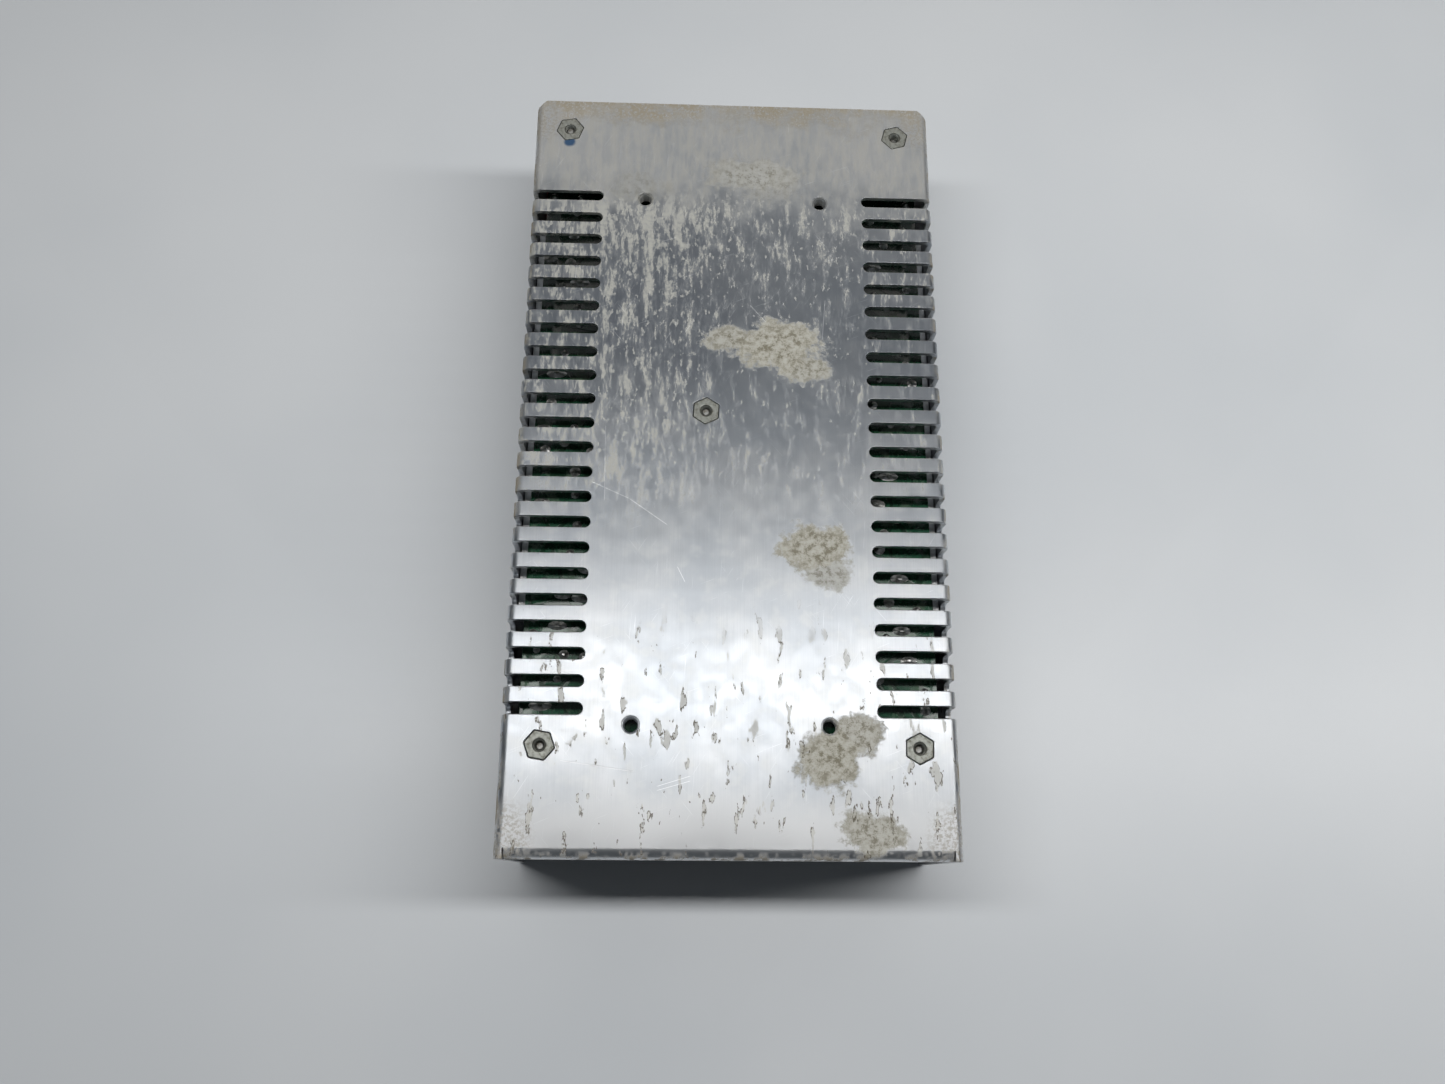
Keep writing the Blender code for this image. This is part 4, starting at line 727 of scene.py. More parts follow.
def pan_head(head, height, shank, length):
    """Domed screw on z = 0 with its shank down, and a cross recess in its dome."""
    radius = head / 2
    top = blank([circle((0, 0), radius, 32), cross(head * 0.5, head * 0.12)], height * 0.6, 0.2, 2)
    for vert in top.vertices:
        reach = math.hypot(vert.co.x, vert.co.y) / radius
        vert.co.z += height * (1 - 0.35 * reach * reach)
    base = turned([(0, height * 0.45), (radius * 0.9, height * 0.45), (radius, height * 0.3),
                   (radius, 0), (shank / 2, 0), (shank / 2, -length), (0, -length)], 28)
    return joined([top, base])


# ---------------------------------------------------------------- sheet metal
WALL_RUN = SIDE - BASE_BEND + BASE_BEND * math.pi / 2


def wall_reach(z):
    """Distance on the flat blank, from the middle line, of a height on the base's side wall."""
    return WALL_RUN + (TOP - BASE_BEND - z)


STANDOFF_TURNS = (10, 15, 26, 50, 28)
STANDOFF_FLATS = 6.7
STANDOFFS = [middle(f"pcb_standoff_{i}") for i in range(1, 6)]
MOUNT_HOLES = [(sx * MOUNT_X, sy * MOUNT_Y) for sx, sy in CORNERS]
SIDE_HOLES = [(side, y) for side in SIDES for y in (-MOUNT_Y, MOUNT_Y)]
SIDE_SCREWS = [middle(f"cover_screw_{i}") for i in (1, 2)]
SELECTOR = middle("selector_body")


def chassis():
    """Base plate, side walls and near flange, folded from one blank with rounded edges."""
    end = wall_reach(0)
    cut_x, cut_y = 2.9, 2.3
    corner = [(SIDE - cut_x, FAR)]
    for i in range(7):
        angle = math.pi / 2 * i / 6
        x = SIDE - BASE_BEND + BASE_BEND * math.sin(angle)
        flat = SIDE - BASE_BEND + BASE_BEND * angle
        corner.append((flat, FAR - cut_y * (x - SIDE + cut_x) / cut_x))
    corner.append((wall_reach(TOP - 3.25), FAR - cut_y))
    corner.append((wall_reach(TOP - 3.25), FAR))
    right = [(end, NEAR), (end, FAR)] + corner[::-1]
    flange_end, gap = SIDE - 2.6, 0.3
    fold_y = NEAR + BASE_BEND
    flange_y = fold_y - BASE_BEND * math.pi / 2 - (5 - BASE_BEND)
    near = [(-flange_end - gap, NEAR), (-flange_end - gap, fold_y), (-flange_end, fold_y),
            (-flange_end + 0.1, flange_y + 0.3), (-flange_end + 0.4, flange_y)]
    near = near + [(-x, y) for x, y in near[::-1]]
    outline = [(-end, NEAR)] + near + right + [(-x, y) for x, y in right[:0:-1]]

    holes = []
    slot = slot_outline(SIDE - VENT_REACH, wall_reach(TOP - VENT_DROP), VENT_SLOT)
    for i in range(VENTS):
        row = FIRST_VENT - VENT_PITCH * i
        holes += [[(side * x, y + row) for x, y in slot] for side in SIDES]
    for spot, turn in zip(STANDOFFS, STANDOFF_TURNS):
        radius = (STANDOFF_FLATS / 2 + 0.12) / math.cos(math.pi / 6)
        holes.append(hexagon((spot.x, spot.y), radius, turn, 0.5))
    holes += [circle(spot, 2.2, 36) for spot in MOUNT_HOLES]
    holes += [circle((side * wall_reach(SIDE_HOLE_Z), y), 1.9, 28) for side, y in SIDE_HOLES]
    holes += [circle((side * wall_reach(spot.z), spot.y), 2.62, 32)
              for side in SIDES for spot in SIDE_SCREWS]
    window = wall_reach(SELECTOR.z)
    holes.append(rectangle(-window - 3.5, -window + 3.5, SELECTOR.y - 7.5, SELECTOR.y + 7.5, 0.5))
    mesh = blank([outline] + holes, BASE_SHEET, 0.22)
    for side in SIDES:
        mesh = fold(mesh, 0, side, SIDE - BASE_BEND, BASE_BEND, 8)
    mesh = fold(mesh, 1, -1, -fold_y, BASE_BEND, 8, lambda co: abs(co.x) < flange_end + gap / 2)
    add("base_sheet", mesh, "zinc_sheet", node="base_chassis", place=at(0, 0, TOP), even=True)


def mount_threads():
    """Drawn and tapped M4 holes: rounded mouth, helical thread and collar."""
    deep = 3.5
    outer = [(1.95, -deep), (3.1, -deep), (3.1, -1.55), (2.3, -1.5), (2.3, -0.35), (2.24, -0.15),
             (2.12, -0.02)]
    sleeve = threaded(*M4_PLATE, deep, outer, 32)
    meshes = [moved(sleeve, at(x, y, TOP - 0.04)) for x, y in MOUNT_HOLES]
    add("mount_threads", joined(meshes), "zinc_sheet", even=True)
    ring = threaded(*M4_SIDE, 1.3, [(2.0, -1.3), (2.0, -0.1)])
    meshes = [moved(ring, frame_at((side * (SIDE - 0.08), y, SIDE_HOLE_Z), side * Y, Z))
              for side, y in SIDE_HOLES]
    add("side_threads", joined(meshes), "zinc_sheet")


def standoffs():
    """Clinched hexagonal heads flush in the plate, threaded shanks, and the screws' ends inside."""
    radius = STANDOFF_FLATS / 2 / math.cos(math.pi / 6)
    for number, (spot, turn) in enumerate(zip(STANDOFFS, STANDOFF_TURNS), 1):
        outlines = [hexagon((0, 0), radius, turn, 0.45), circle((0, 0), 1.62, 32)]
        head = blank(outlines, BASE_SHEET - 0.05, 0.24, 3)
        low = -6.0
        outer = [(1.6, low), (2.7, low), (2.7, -1.3), (1.7, -1.3), (1.7, -0.4)]
        sleeve = threaded(*M3_STANDOFF, -low - 0.3, outer)
        place = at(spot.x, spot.y, TOP - 0.03)
        mesh = joined([head, moved(sleeve, at(0, 0, -0.1))])
        add(f"standoff_{number}", mesh, "olive_zinc", node=f"pcb_standoff_{number}", place=place,
            even=True)

        low, high, _ = span(f"pcb_screw_{number}")
        reach = -1.1 if number in (1, 3) else high.z - TOP
        point = turned([(0, reach), (0.75, reach), (1.18, reach - 0.35),
                        (1.18, low.z + 2 - TOP), (0, low.z + 2 - TOP)], 24)
        tall = 2.2
        screw = moved(pan_head(5.6, tall, 2.2, 0.5), at(0, 0, low.z + tall - TOP) @ rotation(180, "X"))
        place = at(spot.x, spot.y, TOP)
        add(f"board_screw_{number}", joined([point, screw]), "screw_steel",
            node=f"pcb_screw_{number}", place=place)


def cover():
    """Cover's face, side lips and far end wall, folded from one blank, turned face down."""
    low, high, _ = span("top_cover")
    half, near, far = high.x, low.y, high.y
    bend = COVER_BEND
    run = bend * math.pi / 2
    lip = half - bend + run + 12 - bend
    wall_half = half - COVER_SHEET - 0.6
    wall = far - bend + run + high.z - bend
    fold_y = far - bend
    right = [(lip, near), (lip, far), (wall_half + 0.3, far), (wall_half + 0.3, fold_y),
             (wall_half, fold_y), (wall_half, wall)]
    outline = right + [(-x, y) for x, y in right[::-1]]
    holes = []
    slot = slot_outline(6, 44, VENT_SLOT)
    for i in range(8):
        row = near + 13 + i * 14
        holes += [[(side * x, y + row) for x, y in slot] for side in SIDES]
    slot = slot_outline(-12, 12, VENT_SLOT)
    middle_y = fold_y + run + (25 - bend)
    holes += [[(y + i * 9, x + middle_y) for x, y in slot] for i in range(-5, 6)]
    fan = middle("fan_frame")
    for ring in (7, 13, 19, 25):
        gap = math.degrees(math.radians(12) * 7 / ring) / 2
        for i in range(4):
            start, end = i * 90 + gap, (i + 1) * 90 - gap
            holes.append(arc((0, fan.y), ring + 2, start, end, 6 + ring)
                         + arc((0, fan.y), ring - 2, end, start, 6 + ring))
    for number in range(1, 5):
        spot = middle(f"fan_screw_{number}")
        holes.append(circle((-spot.x, spot.y), 3.12, 32))
    holes += [circle((side * (half - bend + run + spot.z - bend), spot.y), 1.5, 24)
              for side in SIDES for spot in SIDE_SCREWS]
    mesh = blank([outline] + holes, COVER_SHEET, 0.16)
    for side in SIDES:
        mesh = fold(mesh, 0, side, half - bend, bend, 6)
    mesh = fold(mesh, 1, 1, fold_y, bend, 6, lambda co: abs(co.x) < wall_half + 0.15)
    place = rotation(180, "Y")
    add("cover_sheet", mesh, "cover_steel", node="top_cover", place=place, even=True)

    for kind, node, screw, step in (("side", "cover_screw", flat_head(4.9, 2.5, 4.8), 31),
                                    ("grille", "fan_screw", flat_head(6.0, 3.2, 8.6), 23)):
        for number in range(1, 5):
            spot = middle(f"{node}_{number}")
            side = math.copysign(1, spot.x)
            place = frame_at((spot.x, spot.y, 0.05), X, -Y)
            if kind == "side":
                place = frame_at((side * (SIDE - 0.05), spot.y, spot.z), side * Y, Z)
            add(f"{kind}_screw_{number}", screw.copy(), "screw_steel", node=f"{node}_{number}",
                place=place @ rotation(step * number))


# ---------------------------------------------------------------- board and terminals
def board():
    """Laminate with rounded edges, and solder joints with lead stubs, some drawn out longer than the
    rest.
    """
    low, high, _ = span("circuit_board")
    outlines = [rectangle(low.x, high.x, low.y, high.y, 1)]
    outlines += [circle((s.x, s.y), 1.75, 24) for s in STANDOFFS]
    sheet = blank(outlines, high.z - low.z, 0.08, 1)
    add("board_sheet", sheet, "green_board", node="circuit_board", place=at(0, 0, high.z))

    rng = random.Random(17)
    rings = [(0, 1.15), (0.30, 1.12), (0.33, 0.62), (0.62, 0.34), (1.05, 0.10), (1.25, 0.0)]
    joint = turned([(r, z) for r, z in rings], 12)
    spots = []
    for side in SIDES:
        for y in [y for y in range(-74, 80, 4) for _ in range(2)]:
            spots.append((side * rng.uniform(37, 52), y + rng.uniform(-1.6, 1.6)))
    for column in range(TERMINALS):
        x = FIRST_TERMINAL + column * TERMINAL_PITCH
        spots += [(x - 1.6, -100.5), (x + 1.6, -100.5)]
    kept = []
    for spot in spots:
        taken = kept + [s.xy for s in STANDOFFS]
        if min(math.dist(spot, other) for other in taken) > 3.2:
            kept.append(spot)
    meshes = []
    for x, y in kept:
        scale, long = rng.uniform(0.75, 1.3), rng.choice((1.0, 1.0, 1.0, 1.9))
        lean = Matrix.Rotation(rng.uniform(-0.12, 0.12), 4, "X")
        matrix = at(x, y, high.z - 0.02) @ lean @ Matrix.Diagonal((scale * long, scale, 1, 1))
        meshes.append(moved(joint, matrix))
    add("solder_joints", joined(meshes), "solder")


def terminals():
    """Barrier block, screws with clamp plates, and the pierced finger guard."""
    soften("terminal_block", 0.25, "black_plastic")
    for number in range(1, TERMINALS + 1):
        low, high, spot = span(f"terminal_screw_{number}")
        half = (high.x - low.x) / 2
        plate = blank([panel(half, half, 0.5)], 1.0, 0.2)
        ridges = [box((-half * 0.8, y - 0.2, 0), (half * 0.8, y + 0.2, 0.12))
                  for y in (-2.6, -1.8, 1.8, 2.6)]
        head = moved(pan_head(5.8, 2.2, 2.8, 3.4), at(0, 0, 0.1))
        place = frame_at((spot.x, spot.y, CLAMP_TOP), X, -Y)
        mesh = joined([plate, moved(head, rotation(41 * number))] + ridges)
        add(f"clamp_screw_{number}", mesh, "screw_steel",
            node=f"terminal_screw_{number}", place=place, even=True)

    low, high, spot = span("terminal_cover")
    axis = Vector((spot.x, *HINGE))
    half = (high.x - low.x) / 2 - 1.9
    front = low.y - axis.y
    outlines = [rectangle(-half, half, front, -0.6, 0.6)]
    for i in range(TERMINALS):
        x = (i - 4) * TERMINAL_PITCH
        outlines.append(circle((x, -4.2), 1.5, 24))
        outlines.append(rectangle(x - 1.2, x + 1.2, front + 1.4, front + 4.2, 0.5))
    flap = blank(outlines, 1.6, 0.3)
    flap.transform(at(0, 0, 0.8))
    barrel = turned([(0, half), (1.0, half), (1.25, half - 0.3), (1.25, -half + 0.3),
                     (1.0, -half), (0, -half)], 28)
    pin = (high.x - low.x) / 2
    pins = turned([(0, pin), (0.7, pin), (0.88, pin - 0.2), (0.88, -pin + 0.2),
                   (0.7, -pin), (0, -pin)], 20)
    lay = rotation(90, "Y")
    mesh = joined([flap, moved(barrel, lay), moved(pins, lay)])
    add("finger_guard", mesh, "smoked_plastic", body="guard", node="terminal_cover",
        place=at(*axis), even=True)


def soften(node, width, finish, segments=2):
    """CAD node's own shape with rounded edges."""
    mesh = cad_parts[node].data.copy()
    mesh.transform(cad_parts[node].matrix_world)
    bm = bmesh.new()
    bm.from_mesh(mesh)
    bmesh.ops.remove_doubles(bm, verts=bm.verts, dist=MERGE * MM)
    bmesh.ops.dissolve_limit(bm, angle_limit=math.radians(1), verts=bm.verts, edges=bm.edges)
    bmesh.ops.scale(bm, vec=[1 / MM] * 3, verts=bm.verts)
    bevel = add(f"{node}_body", mesh_from(bm), finish, node=node).modifiers.new("Round", "BEVEL")
    bevel.width = width * MM
    bevel.segments = segments
    bevel.limit_method = "ANGLE"
    bevel.angle_limit = math.radians(30)
    bevel.use_clamp_overlap = True
    even_normals(bevel.id_data)


# ---------------------------------------------------------------- controls
def controls():
    """Lamp, trimmer and voltage selector."""
    low, high, _ = span("status_led")
    x, z = (low.x + high.x) / 2, low.z + 1.8
    front, r = low.y, 1.5
    profile = [(0, 0)]
    for angle in range(10, 91, 10):
        dome = polar(r, math.radians(angle))
        profile.append((dome[1], r - dome[0]))
    profile += [(r, 4.2), (r + 0.28, 4.25), (r + 0.3, 5.2), (r, 5.3), (0, 5.3)]
    lens = turned(profile, 28)
    lens.transform(frame_at((x, front, z), X, Z) @ Matrix.Diagonal((1, 1, -1, 1)))
    lens.flip_normals()
    add("lamp_lens", lens, "lamp_green", node="status_led")
    legs = []
    for side in SIDES:
        leg = x + side * 1.27
        back = front + 5.2
        points = [(leg, back, z), (leg, back + 0.35, z + 0.1), (leg, back + 0.45, z + 0.6),
                  (leg, back + 0.45, high.z)]
        legs.append(tube(points, 0.24))
    add("lamp_legs", joined(legs), "screw_steel")

    low, high, spot = span("trimmer_body")
    dial = (spot.x, low.y, spot.z)
    half = (high.x - low.x) / 2
    outlines = [panel(half, half, 0.5), circle((0, 0), 2.35, 32)]
    shell = blank(outlines, 1.4, 0.2)
    back = blank([outlines[0]], high.y - low.y - 1.3, 0.2)
    back.transform(at(0, 0, -1.3))
    tick = box((2.55, -0.12, -0.05), (3.05, 0.12, 0.0))
    ticks = [moved(tick, rotation(angle)) for angle in range(-120, 121, 40)]
    place = frame_at(dial, X, Z)
    add("trimmer_case", joined([shell, back]), "blue_plastic", node="trimmer_body", place=place,
        even=True)
    add("trimmer_marks", joined(ticks), "white_plastic", place=place @ at(0, 0, 0.02))
    low, high, spot = span("trimmer_rotor")
    face = blank([circle((0, 0), 2.1, 32), rectangle(-1.6, 1.6, -0.3, 0.3, 0.15)], 0.6, 0.15)
    core = turned([(0, -0.5), (2.0, -0.5), (2.0, -1.15), (0, -1.15)], 28)
    arrow = blank([[(0.45, 0.55), (0, 1.6), (-0.45, 0.55)]], 0.2, 0.04, 1)
    place = frame_at((spot.x, low.y + 0.05, spot.z), X, Z)
    add("trimmer_dial", joined([face, core]), "white_plastic", body="trimmer",
        node="trimmer_rotor", place=place, even=True)
    add("trimmer_arrow", arrow, "black_plastic", body="trimmer", place=place @ at(0, 0, 0.04))

    soften("selector_body", 0.3, "black_plastic")
    low, high, spot = span("selector_slider")
    half_y, half_z = (high.y - low.y) / 2, (high.z - low.z) / 2
    knob = blank([panel(half_y, half_z, 0.5)], high.x - low.x - 0.3, 0.3)
    parts = [moved(knob, at(0, 0, -0.3))]
    rib = blank([panel(0.22, half_z - 0.4, 0.15)], 0.6, 0.1, 1)
    parts += [moved(rib, at(0.95 * i, 0, 0)) for i in (-3, -2, -1, 1, 2, 3)]
    place = frame_at((low.x, spot.y, spot.z), -Y, Z)
    add("selector_knob", joined(parts), "red_plastic", body="selector",
        node="selector_slider", place=place, even=True)


# ---------------------------------------------------------------- fan
def fan():
    """Frame with two flanges, bore and struts; rotor with curved blades; plug and twisted lead."""
    low, high, _ = span("fan_frame")
    spot = Vector((0, (low.y + high.y) / 2, low.z))
    half, deep = (high.x - low.x) / 2, high.z - low.z
    outlines = [panel(half, half, 3.2, 6), circle((0, 0), FAN_BORE, 96)]
    outlines += [circle((sx * FAN_HOLE, sy * FAN_HOLE), 2.15, 24) for sx, sy in CORNERS]
    flange = blank(outlines, 3, 0.3)
    ring = turned([(FAN_BORE, 2.8), (29.9, 2.8), (29.9, deep - 2.8), (FAN_BORE, deep - 2.8)],
                  96, closed=True)
    strut = blank([rectangle(12, 28.7, -1.7, 1.7)], 2.2, 0.4)
    struts = [moved(strut, at(0, 0, deep - 0.2) @ rotation(90 * i + 20)) for i in range(4)]
    motor = turned([(0, deep), (12.9, deep), (FAN_HUB, deep - 0.5), (FAN_HUB, deep - 2.4),
                    (0, deep - 2.4)], 64)
    label = turned([(0, deep - 0.05), (10, deep - 0.05), (10, deep - 0.15), (0, deep - 0.15)], 48)
    mesh = joined([moved(flange, at(0, 0, 3)), moved(flange, at(0, 0, deep)), ring, motor] + struts)
    add("fan_housing", mesh, "fan_plastic", node="fan_frame",
        place=at(*spot), even=True)
    add("fan_motor_disc", label, "aluminium", place=at(*spot) @ at(0, 0, 0.08))

    top, foot = deep - 3.2, 0.8
    hub = turned([(0, foot), (11.8, foot), (12.9, foot + 0.35), (FAN_HUB, foot + 1.3),
                  (FAN_HUB, top), (12.6, top), (12.6, top - 1), (0, top - 1)], 64)
    dish = turned([(0, foot + 0.3), (7.5, foot + 0.3), (7.9, foot - 0.02),
                   (8.3, foot - 0.02), (8.6, foot + 0.2), (8.6, foot + 0.5),
                   (0, foot + 0.5)], 48)
    blade = fan_blade(foot + 0.5, top - 0.4)
    mesh = joined([hub, dish] + [moved(blade, rotation(360 * i / 7)) for i in range(7)])
    add("fan_impeller", mesh, "fan_plastic", body="rotor",
        node="fan_rotor", place=at(*spot), even=True)

    low, high, spot = span("fan_connector")
    wide, tall = (high.x - low.x) / 2, high.z - low.z
    near, far = low.y - spot.y, high.y - spot.y
    shell = blank([rectangle(-wide, wide, near, far, 0.4),
                   rectangle(-wide + 1.0, wide - 1.0, near + 1.0, far - 0.9, 0.2)], tall, 0.15)
    plug = blank([rectangle(-wide + 1.2, wide - 1.2, near + 1.2, far - 1.1, 0.2)], tall - 0.5, 0.15)
    ribs = [box((x - 0.3, near, -tall), (x + 0.3, near + 0.3, -0.8)) for x in (-1.6, 1.6)]
    mesh = joined([shell, moved(plug, at(0, 0, -0.3))] + ribs)
    add("fan_plug", mesh, "white_plastic", node="fan_connector", place=at(spot.x, spot.y, high.z),
        even=True)

    low, high, _ = span("fan_lead")
    start = Vector((low.x, high.y - 0.8, low.z + 0.8))
    end = Vector((spot.x, spot.y, high.z))
    pull = (end - start).length / 2
    guides = (start, start + Vector((pull, 0, 0)), end - Vector((0, 0, pull)), end)
    for name, finish, phase in (("red", "lead_red", 0), ("black", "black_plastic", math.pi)):
        points = []
        for i in range(49):
            t = i / 48
            weights = ((1 - t) ** 3, 3 * t * (1 - t) ** 2, 3 * t * t * (1 - t), t ** 3)
            place = sum((g * w for g, w in zip(guides, weights)), Vector())
            angle = phase + t * 4 * math.tau
            points.append(place + 0.42 * Vector((math.cos(angle), math.sin(angle), math.cos(angle))))
        wire = add(f"fan_lead_{name}", tube(points, 0.42, 12), finish,
                   node="fan_lead" if name == "red" else None)


def fan_blade(foot, top):
    """Blade with its pitch easing and its chord widening towards the tip."""
    rows = []
    root, thick = 12.9, 0.55
    for i in range(9):
        radius = root + (BLADE_TIP - root) * i / 8
        reach = math.radians(22 + 5 * i / 8)
        upper, lower = [], []
        for k in range(9):
            t = k / 8
            sweep = math.radians(-8 * i / 8) + (t - 0.5) * 2 * reach
            z = foot + (top - foot) * (t + 0.12 * math.sin(math.pi * t))
            z = min(max(z, foot), top)
            edge = thick * math.sqrt(max(1 - (2 * t - 1) ** 2, 0.05))
            for line, lift in ((upper, edge), (lower, -edge)):
                angle = sweep - lift / radius * 0.6
                line.append((*polar(radius, angle), z + lift * 0.8 * (0 < k < 8)))
        rows.append(upper + lower[::-1])
    bm = grid(rows)
    bm.verts.ensure_lookup_table()
    count = len(rows[0])
    bm.faces.new(bm.verts[:count])
    bm.faces.new(bm.verts[-count:])
    bmesh.ops.recalc_face_normals(bm, faces=bm.faces)
    return mesh_from(bm)


# ---------------------------------------------------------------- components on the board
def heat_sinks():
    """Extruded bars with grooved inner faces."""
    for name in ("heat_sink_left", "heat_sink_right"):
        low, high, _ = span(name)
        side = math.copysign(1, low.x)
        wide, tall = high.x - low.x, high.z - low.z
        section = [(0, 0), (wide, 0)]
        for i in range(6):
            z = tall * 0.09 + i * tall * 0.15
            section += [(wide, z), (wide - 0.7, z + 0.1), (wide - 0.7, z + 1.0), (wide, z + 1.1)]
        section += [(wide, tall), (0, tall)]
        bar = blank([section], high.y - low.y, 0.15, 1)
        outer = low.x if side < 0 else high.x
        place = frame_at((outer, low.y if side < 0 else high.y, low.z), -side * X, Z)
        add(f"{name}_bar", bar, "aluminium", node=name, place=place, even=True)


def devices():
    """Flat power devices: moulded body with a hole, fixing screw and flat legs."""
    names = (("bridge_rectifier", 4), ("power_transistor_1", 3), ("power_transistor_2", 3),
             ("output_rectifier_1", 3), ("output_rectifier_2", 3))
    for name, count in names:
        low, high, _ = span(name)
        side = math.copysign(1, low.x)
        half = (high.y - low.y) / 2
        thick = high.x - low.x
        tall = high.z - low.z - 5
        notch = 0.8
        outline = [(-half, 0), (half, 0), (half, tall * 0.62), (half - notch, tall * 0.66),
                   (half - notch, tall * 0.8), (half, tall * 0.84), (half, tall), (-half, tall),
                   (-half, tall * 0.84), (-half + notch, tall * 0.8), (-half + notch, tall * 0.66),
                   (-half, tall * 0.62)]
        body = blank([outline, circle((0, tall * 0.76), 1.7, 24)], thick, 0.3)
        inner = high.x if side < 0 else low.x
        place = frame_at((inner, (low.y + high.y) / 2, low.z + tall), -side * Y, -Z)
        add(f"{name}_case", body, "device_epoxy", node=name, place=place, even=True)
        legs = []
        for i in range(count):
            row = half * 1.4 * (i / (count - 1) - 0.5)
            legs.append(box((row - 0.55, -5, -thick / 2 - 0.3), (row + 0.55, 0.2, -thick / 2 + 0.3)))
            legs.append(box((row - 0.95, -1.8, -thick / 2 - 0.3), (row + 0.95, 0.2, -thick / 2 + 0.3)))
        screw = moved(pan_head(3.2, 1.2, 1.6, thick * 0.4), at(0, tall * 0.76, -thick * 0.55))
        add(f"{name}_metal", joined(legs + [screw]), "screw_steel", place=place, even=True)


def capacitors():
    """Cans in shrunk sleeves, with a rolled groove, a bare end and its scored vent."""
    names = ["input_capacitor_1", "input_capacitor_2"] + [f"output_capacitor_{i}" for i in (1, 2, 3)]
    for name in names:
        low, high, _ = span(name)
        r, tall = (high.x - low.x) / 2, high.z - low.z
        edge = 0.09 * r
        groove = [(0, tall), (r * 0.90, tall), (r * 0.97, tall - 0.04 * r), (r, tall - 0.12 * r),
                  (r, tall - 0.24 * r), (r * 0.955, tall - 0.31 * r), (r * 0.93, tall - 0.37 * r),
                  (r * 0.955, tall - 0.43 * r), (r, tall - 0.50 * r), (r, edge)]
        roll = [(r - edge + edge * math.cos(a), edge - edge * math.sin(a))
                for a in (math.radians(v) for v in range(15, 91, 15))]
        inner = r * 0.80
        profile = groove + roll + [(inner, 0), (inner, 0.25), (0, 0.25)]
        place = at((low.x + high.x) / 2, (low.y + high.y) / 2, low.z)
        add(f"{name}_sleeve", turned(profile, 64), "can_sleeve", node=name, place=place)
        end = blank([circle((0, 0), inner, 48), cross(inner * 1.2, 0.35)], 0.3, 0.06, 1)
        end = moved(end, at(0, 0, 0.02) @ rotation(180, "X"))
        end.transform(at(0, 0, 0.02))
        stripe = arc((0, 0), r, 200, 227.2, 8)
        band = [[(x, y, z) for x, y in stripe] for z in (tall - 0.6 * r, edge * 1.5)]
        bm = grid(band, False)
        bmesh.ops.solidify(bm, geom=bm.faces[:], thickness=0.03)
        add(f"{name}_stripe", mesh_from(bm), "white_plastic", place=place)
        add(f"{name}_end", end, "aluminium", place=place, even=True)

    low, high, _ = span("line_capacitor")
    half_x, half_y = (high.x - low.x) / 2, (high.y - low.y) / 2
    shell = blank([panel(half_x, half_y, 0.8)], high.z - low.z - 1.2, 0.6, 3)
    feet = [box((sx * (half_x - 2) - 0.6, sy * (half_y - 1.5) - 0.6, -1.0),
                (sx * (half_x - 2) + 0.6, sy * (half_y - 1.5) + 0.6, 0))
            for sx, sy in CORNERS]
    place = at((low.x + high.x) / 2, (low.y + high.y) / 2, high.z)
    mesh = joined([moved(shell, at(0, 0, -0.6))] + feet)
    add("film_capacitor", mesh, "yellow_plastic", node="line_capacitor", place=place, even=True)


def squircle(angle, half_x, half_y, power):
    """Point of a rounded rectangle."""
    c, s = math.cos(angle), math.sin(angle)
    return half_x * math.copysign(abs(c) ** power, c), half_y * math.copysign(abs(s) ** power, s)


def ring_winding(radius, wall, height, wire, turns):
    """Wire wound through a ring, one turn beside the next."""
    points = []
    steps = 16
    for i in range(turns * steps + 1):
        around = math.tau * 0.93 * i / (turns * steps)
        across, up = squircle(math.tau * i / steps, wall / 2 - wire, height / 2 - wire, 0.45)
        points.append((*polar(radius - wall / 2 + across, around), up))
    return tube(points, wire, 8)


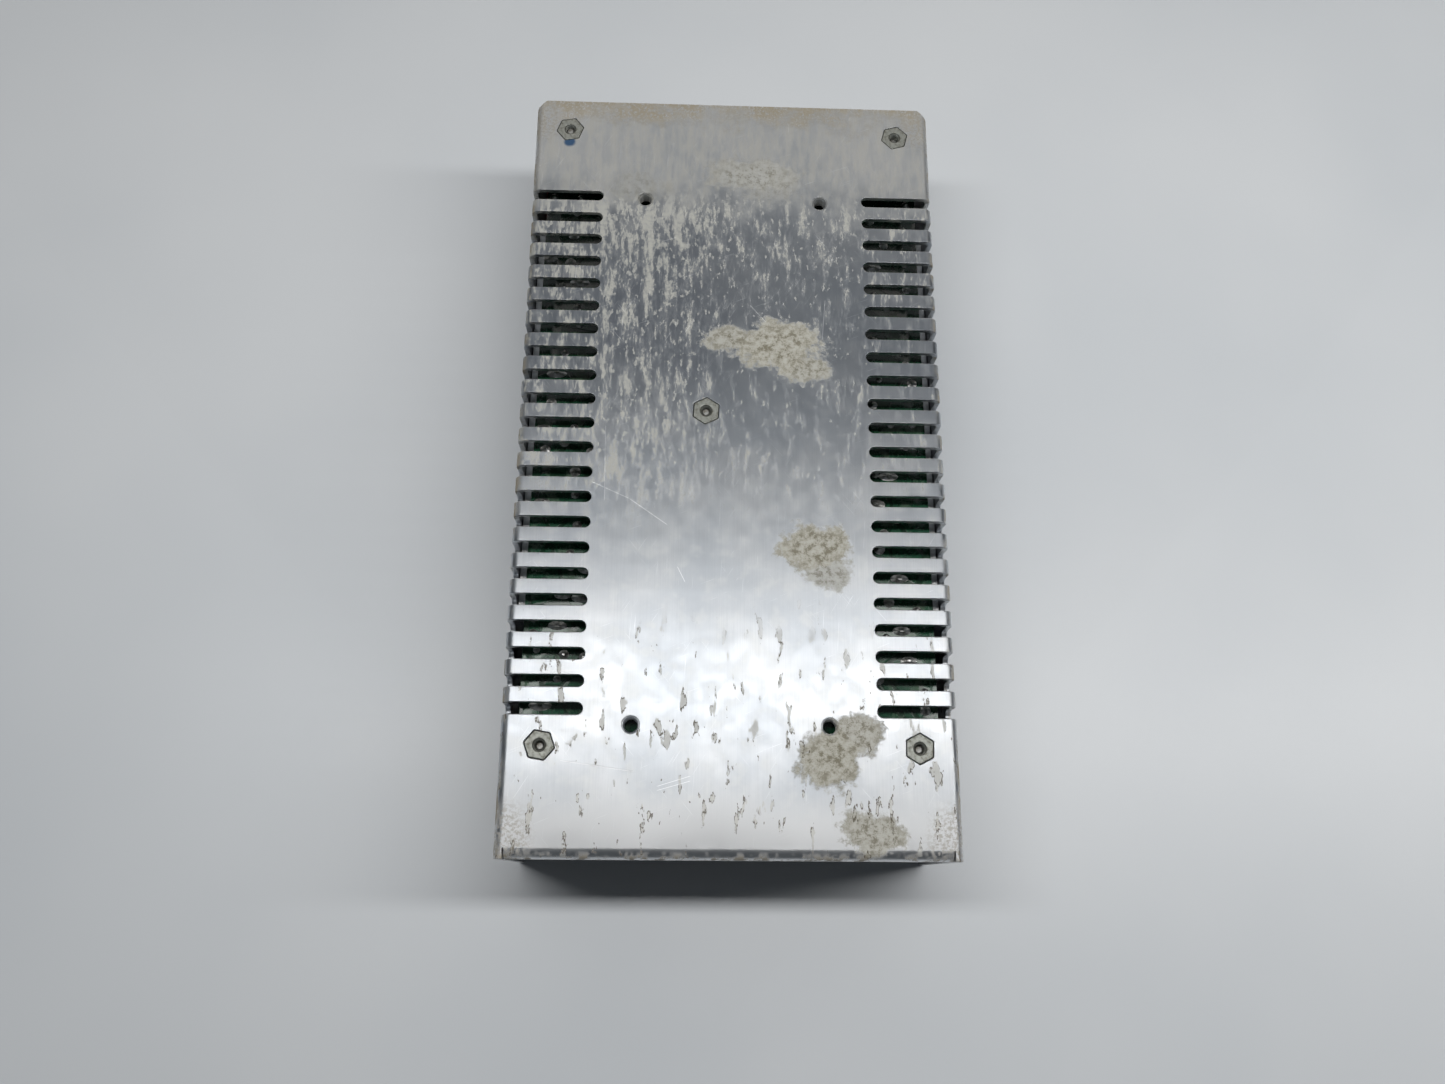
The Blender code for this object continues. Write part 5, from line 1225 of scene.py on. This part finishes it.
def wound_parts():
    """Transformer with a taped winding, and two wound rings."""
    soften("transformer_core", 0.4, "ferrite")
    low, high, spot = span("transformer_core")
    clip = []
    for side in SIDES:
        x = side * ((high.x - low.x) / 2)
        clip.append(box((spot.x + x - 0.15, spot.y - 6, low.z + 1),
                        (spot.x + x + 0.15, spot.y + 6, high.z - 1)))
        clip.append(box((spot.x + x - 1.2, spot.y - 4, low.z - 0.15),
                        (spot.x + x + 1.2, spot.y + 4, low.z + 0.1)))
    add("transformer_clip", joined(clip), "screw_steel")
    soften("transformer_winding", 0.6, "yellow_plastic", segments=3)
    low, high, _ = span("transformer_winding")
    half_x, half_y = (high.x - low.x) / 2, (high.y - low.y) / 2
    rims = []
    for z in (low.z + 1.2, high.z - 0.1):
        rim = panel(half_x, half_y, 1.0)
        rims.append(moved(blank([rim], 1.1, 0.25), at(0, 0, z)))
    spot = (low + high) / 2
    add("transformer_bobbin", joined(rims), "black_plastic", place=at(spot.x, spot.y, 0), even=True)

    for name, wire in (("output_choke", 0.62), ("mains_choke", 0.45)):
        low, high, spot = span(name)
        radius, height = (high.x - low.x) / 2, high.z - low.z
        wall = 7
        rows = []
        inset = 2.1 * wire
        for i in range(24):
            across, up = squircle(math.tau * i / 24, wall / 2 - inset, height / 2 - inset, 0.5)
            rows.append((radius - wall / 2 + across, up))
        core = turned(rows, 48, closed=True)
        add(f"{name}_core", core, "yellow_plastic", place=at(*spot))
        coil = ring_winding(radius, wall, height, wire, 30)
        add(f"{name}_winding", coil, "copper_wire", node=name, place=at(*spot))

    low, high, spot = span("fuse")
    half, z = (high.x - low.x) / 2, low.z + 3.5
    lay = frame_at((spot.x, spot.y, z), Y, Z)
    glass = turned([(0, half - 1), (2.45, half - 1), (2.45, -half + 1), (0, -half + 1)], 40)
    caps = []
    for side in SIDES:
        cap = [(0, half - 0.3), (2.2, half - 0.3), (2.55, half - 0.65),
               (2.6, half - 1.2), (2.6, half - 5), (2.4, half - 5.1),
               (0, half - 5.1)]
        mesh = turned(cap, 40)
        caps.append(moved(mesh, rotation(180 if side < 0 else 0, "X")))
    add("fuse_tube", glass, "fuse_glass", node="fuse", place=lay)
    add("fuse_caps", joined(caps), "screw_steel", place=lay)
    clips = []
    for side in SIDES:
        outer = arc((0, 0), 3.05, -50, 230, 20)
        outline = [(2.9, high.z - z)] + outer + [(-2.9, high.z - z)]
        inner = arc((0, 0), 2.66, 230, -50, 20)
        outline += [(-2.3, high.z - z), (-2.3, 3.2)] + inner + [(2.3, 3.2), (2.3, high.z - z)]
        clip = blank([outline], 3.4, 0.08, 1)
        face = spot.x + (half if side > 0 else -half + 3.4)
        clips.append(moved(clip, frame_at((face, spot.y, z), Y, Z)))
    add("fuse_clips", joined(clips), "screw_steel")


chassis()
mount_threads()
standoffs()
cover()
board()
terminals()
controls()
fan()
heat_sinks()
devices()
capacitors()
wound_parts()


# ---------------------------------------------------------------- table, light and camera
TABLE_LOW, TABLE_HIGH = (-1.4, -1.0, -0.02), (1.4, 1.6, 0)         # lengths in metres from here on
TUBE, TUBE_COLOUR = (0.25, 0.011, 0.55), (1.0, 0.99, 0.975)
CEILING, CEILING_COLOUR = (0.0, 0.55, 1.0), (0.90, 0.95, 1.0)
WALL, WALL_COLOUR = (0.0, 0.95, 0.62), (1.0, 0.945, 0.87)
ROOM_COLOUR, ROOM_STRENGTH = (0.86, 0.93, 1.0, 1), 0.09
EYE = (-0.01198, -0.11288, 0.3387)
EYE_RIGHT, EYE_UP = Vector((0.9994, 0.0061, 0.0352)), Vector((-0.0159, 0.9586, 0.2844))
FOCAL_LENGTH, SENSOR_WIDTH = 28.65, 36


def surroundings():
    floor = bpy.data.objects.new("table", box(TABLE_LOW, TABLE_HIGH))
    bpy.context.scene.collection.objects.link(floor)
    floor.data.materials.append(table_top())

    def lamp(name, place, aim, wide, deep, power, colour, mirrored=True):
        """Area light; one that isn't mirrored lights surfaces but shows in no reflection."""
        light = bpy.data.lights.new(name, "AREA")
        light.shape = "RECTANGLE"
        light.size, light.size_y = wide, deep
        light.energy = power
        light.color = colour
        made = bpy.data.objects.new(name, light)
        bpy.context.scene.collection.objects.link(made)
        made.location = place
        made.rotation_euler = (Vector(aim) - Vector(place)).to_track_quat("-Z", "Y").to_euler()
        made.visible_glossy = mirrored

    under_tube = (0.25, 0.011, 0.0)
    lamp("tube", TUBE, under_tube, 1.2, 0.06, 1.25, TUBE_COLOUR)
    lamp("tube_spread", TUBE, under_tube, 1.2, 0.05, 3.5, TUBE_COLOUR, False)
    lamp("ceiling", CEILING, (0.0, 0.55, 0.0), 2.6, 0.95, 1.3, CEILING_COLOUR)
    lamp("far_wall", WALL, (0.0, 0.0, 0.62), 2.4, 1.25, 5.0, WALL_COLOUR)

    world = bpy.data.worlds.new("room")
    world.use_nodes = True
    glow = world.node_tree.nodes["Background"].inputs
    glow["Color"].default_value = ROOM_COLOUR
    glow["Strength"].default_value = ROOM_STRENGTH
    bpy.context.scene.world = world


def camera():
    lens = bpy.data.cameras.new("camera")
    lens.sensor_width = SENSOR_WIDTH
    lens.lens = FOCAL_LENGTH
    lens.clip_start = 0.005
    holder = bpy.data.objects.new("camera", lens)
    bpy.context.scene.collection.objects.link(holder)
    back = EYE_RIGHT.cross(EYE_UP).normalized()
    up = back.cross(EYE_RIGHT).normalized()
    holder.matrix_world = frame_at(EYE, EYE_RIGHT.normalized(), up)
    bpy.context.scene.camera = holder


surroundings()
camera()
bpy.context.scene.view_settings.view_transform = "Standard"
